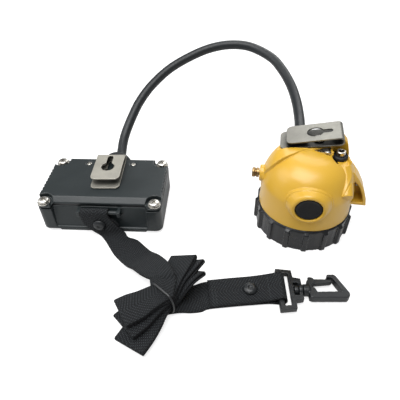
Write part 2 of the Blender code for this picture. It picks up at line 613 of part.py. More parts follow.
def battery_inside():
    """Two round cells in a cradle, their strips and the protection board."""
    z = CASE_FLOOR + 1.5 * MM + GAP + CRADLE_THICKNESS + GAP + CELL_RADIUS
    pitch = CELL_RADIUS + CELL_GAP / 2
    rows = (CELL_ROW_Y - pitch, CELL_ROW_Y + pitch)
    end = CELL_LENGTH / 2
    for i, y in enumerate(rows):
        cell = turned(f"cell_{i + 1}", [(0, end + 1.2 * MM), (2.8 * MM, end + 1.2 * MM), (2.8 * MM, end),
                                        (CELL_RADIUS - 0.6 * MM, end), (CELL_RADIUS, end - 0.6 * MM),
                                        (CELL_RADIUS, -end + 0.6 * MM), (CELL_RADIUS - 0.6 * MM, -end), (0, -end)],
                      BATTERY, CELL_BLUE, steps=20)
        cell.rotation_euler = (0, radians(90 if i == 0 else -90), 0)
        cell.location = (0, y, z)
    low = CASE_FLOOR + 1.5 * MM + GAP
    cradle = block("cell_cradle", (-24 * MM, rows[0] - 8 * MM, low), (24 * MM, rows[1] + 8 * MM, low + 5 * MM),
                   BATTERY, WHITE)
    for i, y in enumerate(rows):
        cut(cradle, rod(f"cradle_bed_{i + 1}", CELL_RADIUS + GAP, (-30 * MM, y, z), (30 * MM, y, z), BATTERY))
    cap = end + 1.2 * MM + GAP
    half = 6.0 * MM
    block("cell_link_strip", (-cap - STRIP_THICKNESS, rows[0] - 3 * MM, z - 3 * MM),
          (-cap, rows[1] + 3 * MM, z + 3 * MM), BATTERY, STEEL)
    for i, y in enumerate(rows):
        block(f"cell_tab_{i + 1}", (cap, y - half / 2, z - 3 * MM), (cap + STRIP_THICKNESS, y + half / 2, z + 6 * MM),
              BATTERY, STEEL)
    block("protection_board", (cap + STRIP_THICKNESS + GAP, rows[0] - 5 * MM, low),
          (cap + STRIP_THICKNESS + GAP + BOARD_THICKNESS, rows[1] + 5 * MM, z + 7 * MM), BATTERY, BOARD_GREEN)


# ---------------------------------------------------------------------------------- webbing, hank and rivets

def level_rail(x, y, z, heading):
    """Both edges of webbing that lies level, with its run's heading in degrees."""
    turn = radians(heading)
    across = Vector((-sin(turn), cos(turn), 0)) * WEB_WIDTH / 2
    centre = Vector((x, y, z))
    return (centre - across, centre + across)


def bar_loop(centre, radius, start, end, count, across, plane):
    """Webbing stations on an arc round a bar."""
    rails = []
    for i in range(count):
        t = radians(start + (end - start) * i / (count - 1))
        point = Vector(centre) + plane[0] * radius * cos(t) + plane[1] * radius * sin(t)
        rails.append((point - across, point + across))
    return rails


def strap_lead():
    """From its sewn end behind the front layer, over the lug bar, down the front and across to the hank."""
    loop = BAR_RADIUS + GAP + WEB_THICKNESS / 2
    bar_z = BAR_Z - 2.5 * MM
    half = Vector((WEB_WIDTH / 2, 0, 0))
    x = -2.8 * MM
    up, out = Vector((0, 0, 1)), Vector((0, -1, 0))
    layer = WEB_THICKNESS + 0.9 * MM
    front = [((-12.6, -2.9, 14.5), (7.6, -2.9, 17.5)),
             ((-9.6, -3.5, 8.5), (10.4, -3.5, 13.5)),
             ((-5.0, -4.0, 4.0), (14.0, -3.9, 8.6)),
             ((-0.6, -5.6, 1.7), (17.8, -4.6, 4.4)),
             ((4.6, -11.0, 0.95), (20.6, -6.9, 1.9))]
    front = [tuple(Vector(p) * MM + Vector((0, BAR_Y, 0)) for p in pair) for pair in front]
    back = [(a + Vector((0, layer, 0.6 * MM)), b + Vector((0, layer, 0.6 * MM))) for a, b in front[:3]]
    back[0] = (Vector((-12.6 * MM, BAR_Y - 1.25 * MM, 13.4 * MM)), Vector((7.6 * MM, BAR_Y - 1.25 * MM, 15.2 * MM)))
    turn = bar_loop((x, BAR_Y, bar_z), loop, 280, 0, 14, half, (out, up))
    floor = [level_rail(20.5 * MM, -43.5 * MM, 0.95 * MM, -45), level_rail(31.0 * MM, -54.0 * MM, 3.0 * MM, -46),
             level_rail(38.5 * MM, -62.5 * MM, 9.0 * MM, -50), level_rail(45.0 * MM, -70.5 * MM, 13.9 * MM, -60)]
    top = hank_level(len(FOLDS))
    lead_in = hank_entry(HANK_START, HANK_LEAD_IN + GAP + 4.5 * MM)
    last = hank_entry(HANK_START, HANK_LEAD_IN + GAP)
    floor += [level_rail(*lead_in, top + 0.2 * MM, HANK_START - 180 + 8), level_rail(*last, top, HANK_START - 180)]
    ribbon("strap_lead", back[::-1] + turn + front + floor, BATTERY)


def hank_level(layer):
    """Height of a layer's middle at the waist, counted from the lowest."""
    return 0.3 * MM + WEB_THICKNESS / 2 + WAIST_LIFT + layer * WEB_PITCH


def hank_entry(angle, reach):
    """A point at an angle and distance from the waist."""
    turn = radians(angle)
    return (WAIST[0] + reach * cos(turn), WAIST[1] + reach * sin(turn))


def hank_rails():
    """One unbroken strip, folded to and fro through the tie, top layer first."""
    layers = len(FOLDS) + 1
    ends = [(HANK_START, HANK_LEAD_IN / MM)] + list(FOLDS) + [(HANK_END, HANK_LEAD_OUT / MM)]
    rails = []
    for i in range(layers):
        (angle_in, reach_in), (angle_out, reach_out) = ends[i], ends[i + 1]
        z = hank_level(layers - 1 - i)
        heading_in = angle_in + 180
        heading_out = heading_in + (angle_out - heading_in + 180) % 360 - 180
        middle = (heading_in + heading_out) / 2
        for part in (1.0, 0.7, 0.42):
            x, y = hank_entry(angle_in, reach_in * MM * part)
            drop = hank_drop(reach_in * MM * part) if i else 0.0
            rails.append(level_rail(x, y, z - drop, middle + (heading_in - middle) * part))
        rails.append(level_rail(*WAIST, z, middle))
        for part in (0.42, 0.7, 1.0):
            x, y = hank_entry(angle_out, reach_out * MM * part)
            drop = hank_drop(reach_out * MM * part)
            rails.append(level_rail(x, y, z - drop, middle + (heading_out - middle) * part))
        if i < layers - 1:
            radius = WEB_PITCH / 2
            x, y = hank_entry(angle_out, reach_out * MM)
            centre = Vector((x, y, z - WAIST_LIFT - radius))
            out = Vector((cos(radians(angle_out)), sin(radians(angle_out)), 0))
            across = Vector((-out.y, out.x, 0)) * WEB_WIDTH / 2
            for t in (30, 60, 90, 120, 150):
                bend = Vector((0, 0, radius * cos(radians(t)))) + out * radius * sin(radians(t))
                rails.append((centre + bend - across, centre + bend + across))
    return untwist(rails)


def hank_drop(reach):
    """How far a layer has come down from the tie at a distance from the waist."""
    share = min(1.0, reach / HANK_SETTLES)
    return WAIST_LIFT * share * share * (3 - 2 * share)


def untwist(rails):
    """Keep the two edges on their own sides all along the strip."""
    kept = [rails[0]]
    for a, b in rails[1:]:
        p, q = kept[-1]
        straight = (a - p).length + (b - q).length
        crossed = (b - p).length + (a - q).length
        kept.append((a, b) if straight <= crossed else (b, a))
    return kept


def least_gap(rails):
    """The least clear distance from the folded strip to itself, measured on points of its middle surface."""
    spots = []
    walked = 0.0
    for (a, b), (c, d) in zip(rails, rails[1:]):
        run = ((c + d) / 2 - (a + b) / 2).length
        steps = max(1, ceil(run / MM))
        for k in range(steps):
            left, right = a.lerp(c, k / steps), b.lerp(d, k / steps)
            spots += [(left.lerp(right, side / 20), walked + run * k / steps) for side in range(21)]
        walked += run
    tree = KDTree(len(spots))
    for i, (spot, _) in enumerate(spots):
        tree.insert(spot, i)
    tree.balance()
    apart = pi * WEB_PITCH / 2 + 1 * MM
    near = [distance for spot, at in spots for _, i, distance in tree.find_range(spot, 2 * WEB_PITCH)
            if abs(spots[i][1] - at) > apart]
    return min(near) - WEB_THICKNESS


def strap_hank():
    """The folded middle of the strap."""
    rails = hank_rails()
    ribbon("strap_hank", rails, BATTERY)
    print(f"strap_hank: least gap to itself {least_gap(rails) / MM:.2f} mm")


def hank_tie():
    """Rubber band round the hank's waist: a rounded rectangle of round cord."""
    low = GAP / 2 + TIE_RADIUS
    high = hank_level(len(FOLDS)) + WEB_THICKNESS / 2 + GAP + TIE_RADIUS
    half = WEB_WIDTH / 2 + 6.4 * MM
    middle = (low + high) / 2
    radius = (high - low) / 2
    across = Vector((-sin(TIE_ANGLE), cos(TIE_ANGLE), 0))
    straight = half - radius * 0.55
    curve = bpy.data.curves.new("hank_tie", 'CURVE')
    curve.dimensions = '3D'
    curve.bevel_depth = TIE_RADIUS
    curve.bevel_resolution = 2
    points = ([(straight + radius * 0.55 * cos(radians(t)), radius * sin(radians(t))) for t in range(-90, 91, 15)]
              + [(-straight - radius * 0.55 * cos(radians(t)), radius * sin(radians(t)))
                 for t in range(90, -91, -15)])
    spline = curve.splines.new('POLY')
    spline.points.add(len(points) - 1)
    for point, (side, up) in zip(spline.points, points):
        spot = Vector((*WAIST, middle + up)) + across * side
        point.co = (*spot, 1)
    spline.use_cyclic_u = True
    add("hank_tie", curve, BATTERY, RUBBER)


TAIL_LOOP = sqrt(FRAME_BAR ** 2 + (FRAME_THICKNESS / 2) ** 2) + WEB_THICKNESS / 2


def strap_tail():
    """From the hank along the floor, under and round the hook's bar, and back on top to its sewn end."""
    start = hank_entry(HANK_END, HANK_LEAD_OUT + GAP)
    low = hank_level(0)
    bar = Vector((*HOOK_PLACE, HOOK_AXIS_Z))
    bar_x, bar_y = bar.x, bar.y + 1.6 * MM
    under = [level_rail(*start, low - WAIST_LIFT, HANK_END),
             level_rail(80.0 * MM, -81.3 * MM, 1.3 * MM, 9),
             level_rail(95.0 * MM, -79.2 * MM, 1.9 * MM, 8),
             level_rail(107.0 * MM, -77.6 * MM, 2.0 * MM, 7),
             level_rail(118.0 * MM, -76.0 * MM, 1.6 * MM, 5)]
    half = Vector((-sin(HOOK_TURN), cos(HOOK_TURN), 0)) * WEB_WIDTH / 2
    along, up = Vector((cos(HOOK_TURN), sin(HOOK_TURN), 0)), Vector((0, 0, 1))
    turn = bar_loop((bar_x, bar_y, bar.z), TAIL_LOOP, -90, 90, 9, half, (along, up))
    over = [level_rail(118.0 * MM, -76.0 * MM, 4.6 * MM, 5), level_rail(107.0 * MM, -77.6 * MM, 3.7 * MM, 7),
            level_rail(95.0 * MM, -79.2 * MM, 3.5 * MM, 8), level_rail(81.0 * MM, -81.2 * MM, 3.0 * MM, 9)]
    ribbon("strap_tail", untwist(under + turn + over), BATTERY)


def strap_rivet(name, place, normal, gap_through):
    """Snap rivet: a domed cap with a small centre dimple on the front and a flat socket behind."""
    place, normal = Vector(place), Vector(normal).normalized()
    turn = normal.to_track_quat('Z', 'Y')
    face = gap_through / 2 + GAP
    cap = turned(name + "_cap", [(0, face + CAP_HEIGHT * 0.72), (1.0 * MM, face + CAP_HEIGHT * 0.74),
                                 (1.4 * MM, face + CAP_HEIGHT), (2.6 * MM, face + CAP_HEIGHT * 0.96),
                                 (3.7 * MM, face + CAP_HEIGHT * 0.7), (CAP_RADIUS, face + CAP_HEIGHT * 0.3),
                                 (CAP_RADIUS, face), (0, face)], BATTERY, RUBBER, steps=20)
    socket = turned(name + "_socket", [(0, -face), (CAP_RADIUS - 0.6 * MM, -face),
                                       (CAP_RADIUS - 0.6 * MM, -face - SOCKET_HEIGHT), (0, -face - SOCKET_HEIGHT)],
                    BATTERY, RUBBER, steps=16)
    for item in (cap, socket):
        item.location = place
        item.rotation_euler = turn.to_euler()


def strap_rivets():
    """One rivet through the two layers at each end of the strap."""
    strap_rivet("lead_rivet", (0.2 * MM, BAR_Y - 2.45 * MM, 11.0 * MM), (0, -1, 0.02), 3.7 * MM)
    strap_rivet("tail_rivet", (107.0 * MM, -77.6 * MM, 3.05 * MM), (0, 0, 1), 3.4 * MM)


# ------------------------------------------------------------------------------------------------ snap hook

def hook_frame():
    """Webbing frame with a block that holds the swivel."""
    t = FRAME_THICKNESS
    outer = [(-FRAME_BAR, -FRAME_HALF), (FRAME_BAR + SLOT_LENGTH + 2.6 * MM, -FRAME_HALF + 1.2 * MM),
             (FRAME_BAR + SLOT_LENGTH + 2.8 * MM, -BLOCK_HALF), (BLOCK_END, -BLOCK_HALF + 1.0 * MM),
             (BLOCK_END, BLOCK_HALF - 1.0 * MM), (FRAME_BAR + SLOT_LENGTH + 2.8 * MM, BLOCK_HALF),
             (FRAME_BAR + SLOT_LENGTH + 2.6 * MM, FRAME_HALF - 1.2 * MM), (-FRAME_BAR, FRAME_HALF)]
    slot = [(FRAME_BAR, -SLOT_HALF), (FRAME_BAR + SLOT_LENGTH, -SLOT_HALF), (FRAME_BAR + SLOT_LENGTH, SLOT_HALF),
            (FRAME_BAR, SLOT_HALF)]
    frame = flat("hook_frame", outer, t, HOOK, CHARCOAL)
    open_slot = flat("frame_slot", slot, t + 4 * MM, HOOK)
    u0, u1, v = WINDOW
    window = block("frame_window", (u0, -v, -t), (u1, v, t), HOOK)
    bore = rod("frame_bore", STEM_RADIUS + STEM_CLEARANCE, (u1 - MM, 0, 0), (BLOCK_END + 2 * MM, 0, 0), HOOK)
    collar = rod("frame_collar", COLLAR_RADIUS, (u1, 0, 0), (BLOCK_END, 0, 0), HOOK)
    trim = []
    for side, reach in ((-1, FRAME_HALF + MM), (1, SLOT_HALF + 0.4 * MM)):
        for up in (-1, 1):
            u, z = side * (FRAME_BAR + 0.55 * MM), up * (t / 2 + 0.55 * MM)
            trim.append(rod(f"bar_round_{side}_{up}", 1.2 * MM, (u, -reach, z), (u, reach, z), HOOK, sides=12))
    cut(frame, open_slot, *trim)
    join(frame, collar)
    cut(frame, window, bore)


def snap_hook():
    """Hook body: stem and head in the frame, collar, hinge cheeks, spine and the slanted nose."""
    t = HOOK_THICKNESS
    u0 = WINDOW[0] + 0.35 * MM
    profile = [(0, u0), (STEM_HEAD, u0), (STEM_HEAD, WINDOW[1] - GAP), (STEM_RADIUS, WINDOW[1] - GAP),
               (STEM_RADIUS, COLLAR[0]), (COLLAR_RADIUS, COLLAR[0] + 0.3 * MM), (COLLAR_RADIUS, COLLAR[1] - 0.5 * MM),
               (COLLAR_RADIUS - 0.6 * MM, COLLAR[1]), (0, COLLAR[1])]
    hook = turned("snap_hook", profile[::-1], HOOK, CHARCOAL, steps=20)
    hook.rotation_euler = (0, radians(90), 0)
    body = [(17.6, -6.2), (19.6, -7.0), (40.6, -6.8), (42.2, -5.4), (42.5, -3.4), (36.6, 9.6), (35.4, 10.6),
            (31.4, 10.6), (30.7, 9.8), (31.0, 8.4), (34.2, 7.9), (38.6, -2.2), (22.8, -2.6), (21.6, 0.4), (17.6, 2.6)]
    body = [(u * MM, v * MM) for u, v in body]
    plate = flat("hook_plate", body, t, HOOK)
    hub = GATE_HUB + 0.7 * MM
    cheek = (arc(GATE_HINGE, hub, -60, 120, 13) + [(17.8 * MM, 6.0 * MM), (17.4 * MM, 0.0)])
    cheek_plate = flat("hook_cheek", cheek, t, HOOK)
    room = rod("gate_room", GATE_HUB + 1.2 * MM, (*GATE_HINGE, -GATE_THICKNESS / 2 - GAP),
               (*GATE_HINGE, GATE_THICKNESS / 2 + GAP), HOOK)
    pin = rod("gate_pin", GATE_PIN, (*GATE_HINGE, -t / 2 + 0.2 * MM), (*GATE_HINGE, t / 2 - 0.2 * MM), HOOK, sides=16)
    return hook, (plate, cheek_plate), room, pin


def hook_gate():
    """Sprung gate: a tapered finger on a hub between the cheeks."""
    u, v = GATE_HINGE
    outline = (arc(GATE_HINGE, GATE_HUB, 80, 280, 13)
               + [(u + 2.0 * MM, v - 1.9 * MM), (32.6 * MM, 4.9 * MM), (33.6 * MM, 5.6 * MM), (33.6 * MM, 6.9 * MM),
                  (32.8 * MM, 7.5 * MM), (u + 2.0 * MM, v + 2.2 * MM)])
    gate = flat("hook_gate", outline, GATE_THICKNESS, HOOK, CHARCOAL)
    cut(gate, rod("gate_bore", GATE_PIN + GAP, (u, v, -GATE_THICKNESS), (u, v, GATE_THICKNESS), HOOK, sides=16))


# ----------------------------------------------------------------------------------------------- head piece

def scaled(points):
    """Outline points given in millimetres."""
    return [(a * MM, b * MM) for a, b in points]


def standing(outline, front, rear, name, parent=None):
    """An X-Z outline carried from a front to a rear plane."""
    stand = Matrix(((1, 0, 0, 0), (0, 0, 1, (front + rear) / 2), (0, 1, 0, 0), (0, 0, 0, 1)))
    return flat(name, outline, rear - front, parent or HEAD, place=stand)


def shell_outside():
    """The shell's solid: dome, saddle, clip pad, bosses, column and hood."""
    dome = scaled(DOME)
    outer = [(0, 59.95 * MM)] + dome[::-1] + [(SKIRT_RADIUS, dome[0][1]), (SKIRT_RADIUS, SKIRT_LOW), (0, SKIRT_LOW)]
    shell = turned("head_shell", outer, HEAD, YELLOW, steps=40)
    rear = turned("rear_dome", [(0, 61.0 * MM)] + scaled(REAR_DOME)[::-1] + [(0, 30.0 * MM)], HEAD, steps=40)
    front = scaled(RIDGE) + [(45 * MM, -45 * MM), (-45 * MM, -45 * MM)]
    cut(rear, flat("ridge_cut", front, 50 * MM, HEAD, place=lift(50 * MM)))
    pad = standing(scaled(PAD), PAD_FRONT, PAD_REAR, "clip_pad")
    combine(pad, [rod("pad_limit", PAD_LIMIT, (0, 0, 30 * MM), (0, 0, 75 * MM), HEAD, sides=50)], 'INTERSECT')
    post_boss = rod("post_boss", POST_BOSS + 0.9 * MM, (-28 * MM, 0, POST_Z), (POST_BOSS_FACE, 0, POST_Z), HEAD,
                    end_radius=POST_BOSS)
    hood = standing(scaled(HOOD), HOOD_FRONT, HOOD_REAR, "hood")
    column = rod("column", COLUMN_RADIUS, COLUMN_TOP, COLUMN_FOOT, HEAD, end_radius=COLUMN_FOOT_RADIUS)
    column_top = rod("column_top", COLUMN_RADIUS, (*BUSH_PLACE, 40 * MM), (*BUSH_PLACE, BUSH_SEAT), HEAD)
    gland_boss = rod("gland_boss", HEAD_GLAND_BOSS, (0, 0, HEAD_GLAND_Z),
                     (*polar(HEAD_GLAND_SEAT), HEAD_GLAND_Z), HEAD)
    return join(shell, rear, pad, button_boss(), post_boss, column, column_top, hood, gland_boss)


def shell_hollow():
    """Bore for the reflector and heat sink, a ledge over the sink, and the dome's inside above it."""
    wall = SHELL_WALL
    bore = REFLECTOR_RIM + GAP
    dome = [(r - wall, z - wall) for r, z in scaled(DOME)[::-1] if r - wall < LEDGE_RADIUS - MM and z > 45 * MM]
    inner = ([(0, 56.8 * MM)] + [p for p in dome if p[0] > 2 * MM]
             + [(LEDGE_RADIUS, 45.0 * MM), (LEDGE_RADIUS, SINK_TOP + GAP), (bore, SINK_TOP + GAP),
                (bore, SKIRT_LOW - MM), (0, SKIRT_LOW - MM)])
    return turned("shell_hollow", inner, HEAD)


def head_shell():
    """Moulded shell: its solid, less the bore, the clip's seat and every hole and pocket."""
    shell = shell_outside()
    top = 12 * MM
    grow = HEAD_CLIP["width"] / 2 + 0.4 * MM
    clip_seat = block("clip_seat", (-60 * MM, -grow, -GAP), (2.4 * MM, grow, top), HEAD_GRIP)
    tab_seat = flat("tab_seat", tab_outline(0.3 * MM), top - TAB_LEVEL, HEAD_GRIP,
                    place=lift((TAB_LEVEL - GAP + top) / 2))
    button_bore = rod("button_bore", BUTTON_RADIUS + BUTTON_CLEARANCE, (0, BOSS_FACE - MM, BUTTON_Z),
                      (0, -18 * MM, BUTTON_Z), HEAD)
    flange_room = rod("flange_room", BUTTON_RADIUS + 1.4 * MM, (0, -29.4 * MM, BUTTON_Z), (0, -18 * MM, BUTTON_Z),
                      HEAD)
    post_bore = rod("post_bore", POST_THREAD + GAP, (POST_TIP, 0, POST_Z), (-20 * MM, 0, POST_Z), HEAD, sides=20)
    pocket = standing(scaled(HOOD_POCKET), HOOD_FRONT - MM, HOOD_REAR - HOOD_WALL, "hood_pocket_cut")
    pin_x, pin_z = CONTACT_PIN
    pin_bore = rod("pin_bore", 0.9 * MM + GAP, (pin_x, HOOD_REAR - 3 * MM, pin_z),
                   (pin_x, HOOD_REAR - 0.6 * MM, pin_z), HEAD, sides=16)
    bush_room = rod("bush_room", BUSH_ROOM, (*BUSH_PLACE, BUSH_SEAT), (*BUSH_PLACE, 70 * MM), HEAD)
    front = (BUSH_PLACE[0], BUSH_PLACE[1] - 7.0 * MM)
    bush_front = rod("bush_front", BUSH_ROOM + 0.4 * MM, (*front, BUSH_SEAT + 0.02 * MM), (*front, 71 * MM), HEAD)
    bush_bore = rod("bush_bore", TUBE_RADIUS + GAP, (*BUSH_PLACE, 44 * MM), (*BUSH_PLACE, BUSH_SEAT + MM), HEAD,
                    sides=24)
    away, across = HEAD_CLIP_SCREW
    screw_bore = rod("clip_screw_bore", RIVET_RADIUS + HOLE_CLEARANCE, (-away, across, -4.2 * MM),
                     (-away, across, MM), HEAD_GRIP, sides=20)
    tab_bore = rod("tab_bore", 0.7 * MM + GAP, (*TAB_SCREW, TAB_LEVEL - 2.2 * MM), (*TAB_SCREW, top / 2), HEAD_GRIP,
                   sides=16)
    return cut(shell, shell_hollow(), clip_seat, tab_seat, button_bore, flange_room, post_bore, pocket, pin_bore,
               bush_room, bush_front, bush_bore, screw_bore, tab_bore)


def button_boss():
    """Flared boss: a wide ellipse where it leaves the dome, drawn in to a round face."""
    half_width, half_height, depth = BOSS_SPREAD
    rings = []
    for share in (0.0, 0.35, 0.62, 0.84, 0.94, 1.0):
        ease = 1 - (1 - share) ** 1.15
        narrow = 0.0 if share < 0.99 else 0.9 * MM
        wide = half_width + (BOSS_RADIUS - half_width) * ease - narrow
        tall = half_height + (BOSS_RADIUS - half_height) * ease - narrow
        rings.append((BOSS_FACE + depth * (1 - share), wide, tall))
    bm = bmesh.new()
    sides = 32
    rows = []
    for y, wide, tall in rings:
        rows.append([bm.verts.new((wide * cos(2 * pi * k / sides), y, BUTTON_Z + tall * sin(2 * pi * k / sides)))
                     for k in range(sides)])
    for low, high in zip(rows, rows[1:]):
        for k in range(sides):
            bm.faces.new((low[k], low[(k + 1) % sides], high[(k + 1) % sides], high[k]))
    bm.faces.new(rows[0])
    bm.faces.new(rows[-1])
    return add("button_boss", mesh_from("button_boss", bm), HEAD)


def polar(radius):
    """A point on the head gland's axis, at a distance from the head's own axis."""
    turn = radians(90) + HEAD_GLAND_TURN
    return (radius * cos(turn), radius * sin(turn))


SINK_TOP = 33.2 * MM
SKIRT_LOW = RING_LIP_HEIGHT + LENS_THICKNESS + LENS_GASKET + 3 * GAP
CONTACT_PIN = (33.6 * MM, 36.0 * MM)


def tab_outline(grow):
    """The tab's three-cornered outline, grown for its seat."""
    points = scaled(TAB)
    middle = Vector((sum(p[0] for p in points) / 3, sum(p[1] for p in points) / 3))
    grown = []
    for p in points:
        away = Vector(p) - middle
        grown.append(tuple(middle + away * (1 + 2 * grow / away.length)))
    return grown


def contact_pin():
    """Charging contact in the hood's rear wall."""
    x, z = CONTACT_PIN
    face = HOOD_REAR - HOOD_WALL - GAP
    profile = [(0, 2.2 * MM), (0.8 * MM, 1.9 * MM), (1.3 * MM, 1.2 * MM), (1.3 * MM, 0), (0.9 * MM, 0),
               (0.9 * MM, -1.6 * MM), (0, -1.6 * MM)]
    pin = turned("contact_pin", profile, HEAD, STEEL, steps=16)
    pin.rotation_euler = (radians(90), 0, 0)
    pin.location = (x, face, z)


def lens_ring():
    """Screw ring: an upright wall with grip bars, a chamfered top and a lip under the lens."""
    pitch = 360 / RING_BARS
    half = RING_BAR_WIDTH / RING_VALLEY / 2 * 180 / pi
    outline = []
    for i in range(RING_BARS):
        middle = i * pitch + 4
        for angle, radius in ((middle - half * 1.25, RING_VALLEY), (middle - half, RING_BAR_TOP),
                              (middle + half, RING_BAR_TOP), (middle + half * 1.25, RING_VALLEY),
                              (middle + pitch * 0.5, RING_VALLEY)):
            outline.append((radius * cos(radians(angle)), radius * sin(radians(angle))))
    bore = arc((0, 0), RING_BORE, 0, 350, 36)
    ring = flat("lens_ring", outline, RING_HEIGHT, RING, RUBBER, holes=(bore,),
                place=Matrix.Translation((0, 0, RING_HEIGHT / 2)))
    big = 60 * MM
    envelope = turned("ring_envelope", [(big, RING_HEIGHT + MM), (big, -MM), (34.2 * MM, -MM), (34.2 * MM, 0),
                                        (RING_BAR_TOP + MM, 1.6 * MM), (RING_BAR_TOP + MM, RING_HEIGHT - 3.0 * MM),
                                        (RING_VALLEY - 0.7 * MM, RING_HEIGHT - 0.4 * MM),
                                        (RING_VALLEY - 0.7 * MM, RING_HEIGHT + MM)], RING, closed=True, steps=36)
    lip = turned("ring_lip", [(RING_BORE + 1 * MM, RING_LIP_HEIGHT), (RING_BORE + 1 * MM, 0.9 * MM),
                              (RING_BORE - 0.4 * MM, 0), (RING_LIP + 1 * MM, 0), (RING_LIP, 1.5 * MM),
                              (RING_LIP, RING_LIP_HEIGHT)], RING, closed=True, steps=36)
    cut(ring, envelope)
    join(ring, lip)


def lens_set():
    """Flat lens and its gasket, held against the shell by the ring."""
    low = RING_LIP_HEIGHT + GAP
    high = low + LENS_THICKNESS
    turned("lens", [(0, high), (LENS_RADIUS - 0.4 * MM, high), (LENS_RADIUS, high - 0.4 * MM),
                    (LENS_RADIUS, low + 0.4 * MM), (LENS_RADIUS - 0.4 * MM, low), (0, low)], HEAD, CLEAR)
    inner = LEDGE_RADIUS
    turned("lens_gasket", [(LENS_RADIUS, high + GAP + LENS_GASKET), (LENS_RADIUS, high + GAP),
                           (inner, high + GAP), (inner, high + GAP + LENS_GASKET)], HEAD, RUBBER, closed=True)


def head_inside():
    """Reflector, LED on its board, heat sink, driver board and tact switch."""
    rim = RING_LIP_HEIGHT + LENS_THICKNESS + LENS_GASKET + 4 * GAP
    sink_low = SINK_TOP - SINK_HEIGHT
    board_low = sink_low - GAP - 1.6 * MM
    neck = board_low - GAP
    steps = 7
    bowl = []
    for i in range(steps):
        share = i / (steps - 1)
        radius = REFLECTOR_NECK + (REFLECTOR_RIM - 1.2 * MM - REFLECTOR_NECK) * sqrt(1 - share)
        bowl.append((radius, neck - (1 - share) * (neck - rim - 1.2 * MM)))
    outer = [(r + REFLECTOR_WALL, z) for r, z in bowl[::-1]]
    profile = outer[:-1] + [(REFLECTOR_RIM, rim + 1.2 * MM), (REFLECTOR_RIM, rim), (bowl[0][0], rim)] + bowl[1:]
    turned("reflector", profile, HEAD, MIRROR, closed=True, steps=24)
    rod("led_board", 10 * MM, (0, 0, board_low), (0, 0, board_low + 1.6 * MM), HEAD, BOARD_GREEN)
    led_high = board_low - GAP
    turned("led", [(0, led_high), (LED_RADIUS, led_high), (LED_RADIUS, led_high - 0.8 * MM),
                   (LED_RADIUS * 0.85, led_high - 1.6 * MM), (LED_RADIUS * 0.5, led_high - 2.3 * MM),
                   (0, led_high - 2.6 * MM)], HEAD, WHITE, steps=24)
    sink = rod("heat_sink", SINK_RADIUS, (0, 0, sink_low), (0, 0, SINK_TOP), HEAD, ALUMINIUM, sides=40)
    top = SINK_TOP + 1.2 * MM
    for i in range(3):
        place = (14 * MM * cos(radians(90 + 120 * i)), 14 * MM * sin(radians(90 + 120 * i)))
        join(sink, rod(f"sink_post_{i}", 2.5 * MM, (*place, sink_low + MM), (*place, top), HEAD, sides=16))
    board = top + GAP
    block("driver_board", (-15 * MM, -18.5 * MM, board), (15 * MM, 16 * MM, board + 1.6 * MM), HEAD, BOARD_GREEN)
    low = board + 1.6 * MM + GAP
    switch = block("tact_switch", (-3 * MM, -18.3 * MM, low), (3 * MM, -14.4 * MM, low + 5.6 * MM), HEAD, CHARCOAL)
    join(switch, rod("switch_plunger", 1.5 * MM, (0, -18 * MM, BUTTON_Z), (0, -22.8 * MM, BUTTON_Z), HEAD,
                     sides=16))


def button_cap():
    """Rubber button: dished face, body through the boss and a short stem towards the switch."""
    r = BUTTON_RADIUS
    profile = [(0, BUTTON_FACE + 0.9 * MM), (r * 0.55, BUTTON_FACE + 0.75 * MM), (r * 0.85, BUTTON_FACE + 0.1 * MM),
               (r * 0.93, BUTTON_FACE), (r, BUTTON_FACE + 0.7 * MM), (r, -29.1 * MM),
               (r + 0.9 * MM, -29.1 * MM), (r + 0.9 * MM, -27.6 * MM), (2.0 * MM, -27.6 * MM), (2.0 * MM, -24.3 * MM),
               (0, -24.3 * MM)]
    cap = turned("button_cap", profile, HEAD, RUBBER, steps=28)
    cap.data.transform(Matrix.Scale(-1, 4, (0, 0, 1)))
    cap.rotation_euler = (radians(90), 0, 0)
    cap.location = (0, 0, BUTTON_Z)


def charge_post():
    """Brass charging post with a nut inside the wall."""
    shoulder = -POST_BOSS_FACE + GAP
    tip = -POST_TIP
    profile = [(0, tip - 1.2 * MM), (1.2 * MM, tip - 1.2 * MM), (1.4 * MM, tip), (POST_RADIUS - 0.5 * MM, tip),
               (POST_RADIUS, tip - 0.5 * MM), (POST_RADIUS, tip - 2.0 * MM), (POST_RADIUS - 0.5 * MM, tip - 2.3 * MM),
               (POST_RADIUS - 0.5 * MM, tip - 2.9 * MM), (POST_RADIUS, tip - 3.2 * MM), (POST_RADIUS, shoulder),
               (POST_THREAD, shoulder), (POST_THREAD, 21.5 * MM), (0, 21.5 * MM)]
    post = turned("charge_post", profile, HEAD, BRASS, steps=20)
    post.rotation_euler = (0, radians(-90), 0)
    post.location = (0, 0, POST_Z)
    seat = GAP - sqrt(LEDGE_RADIUS ** 2 - NUT_RADIUS ** 2)
    nut = rod("charge_post_nut", NUT_RADIUS, (seat, 0, POST_Z), (seat + 2.8 * MM, 0, POST_Z), HEAD, BRASS, sides=6)
    cut(nut, rod("nut_bore", POST_THREAD + GAP, (-30 * MM, 0, POST_Z), (-20 * MM, 0, POST_Z), HEAD, sides=20))


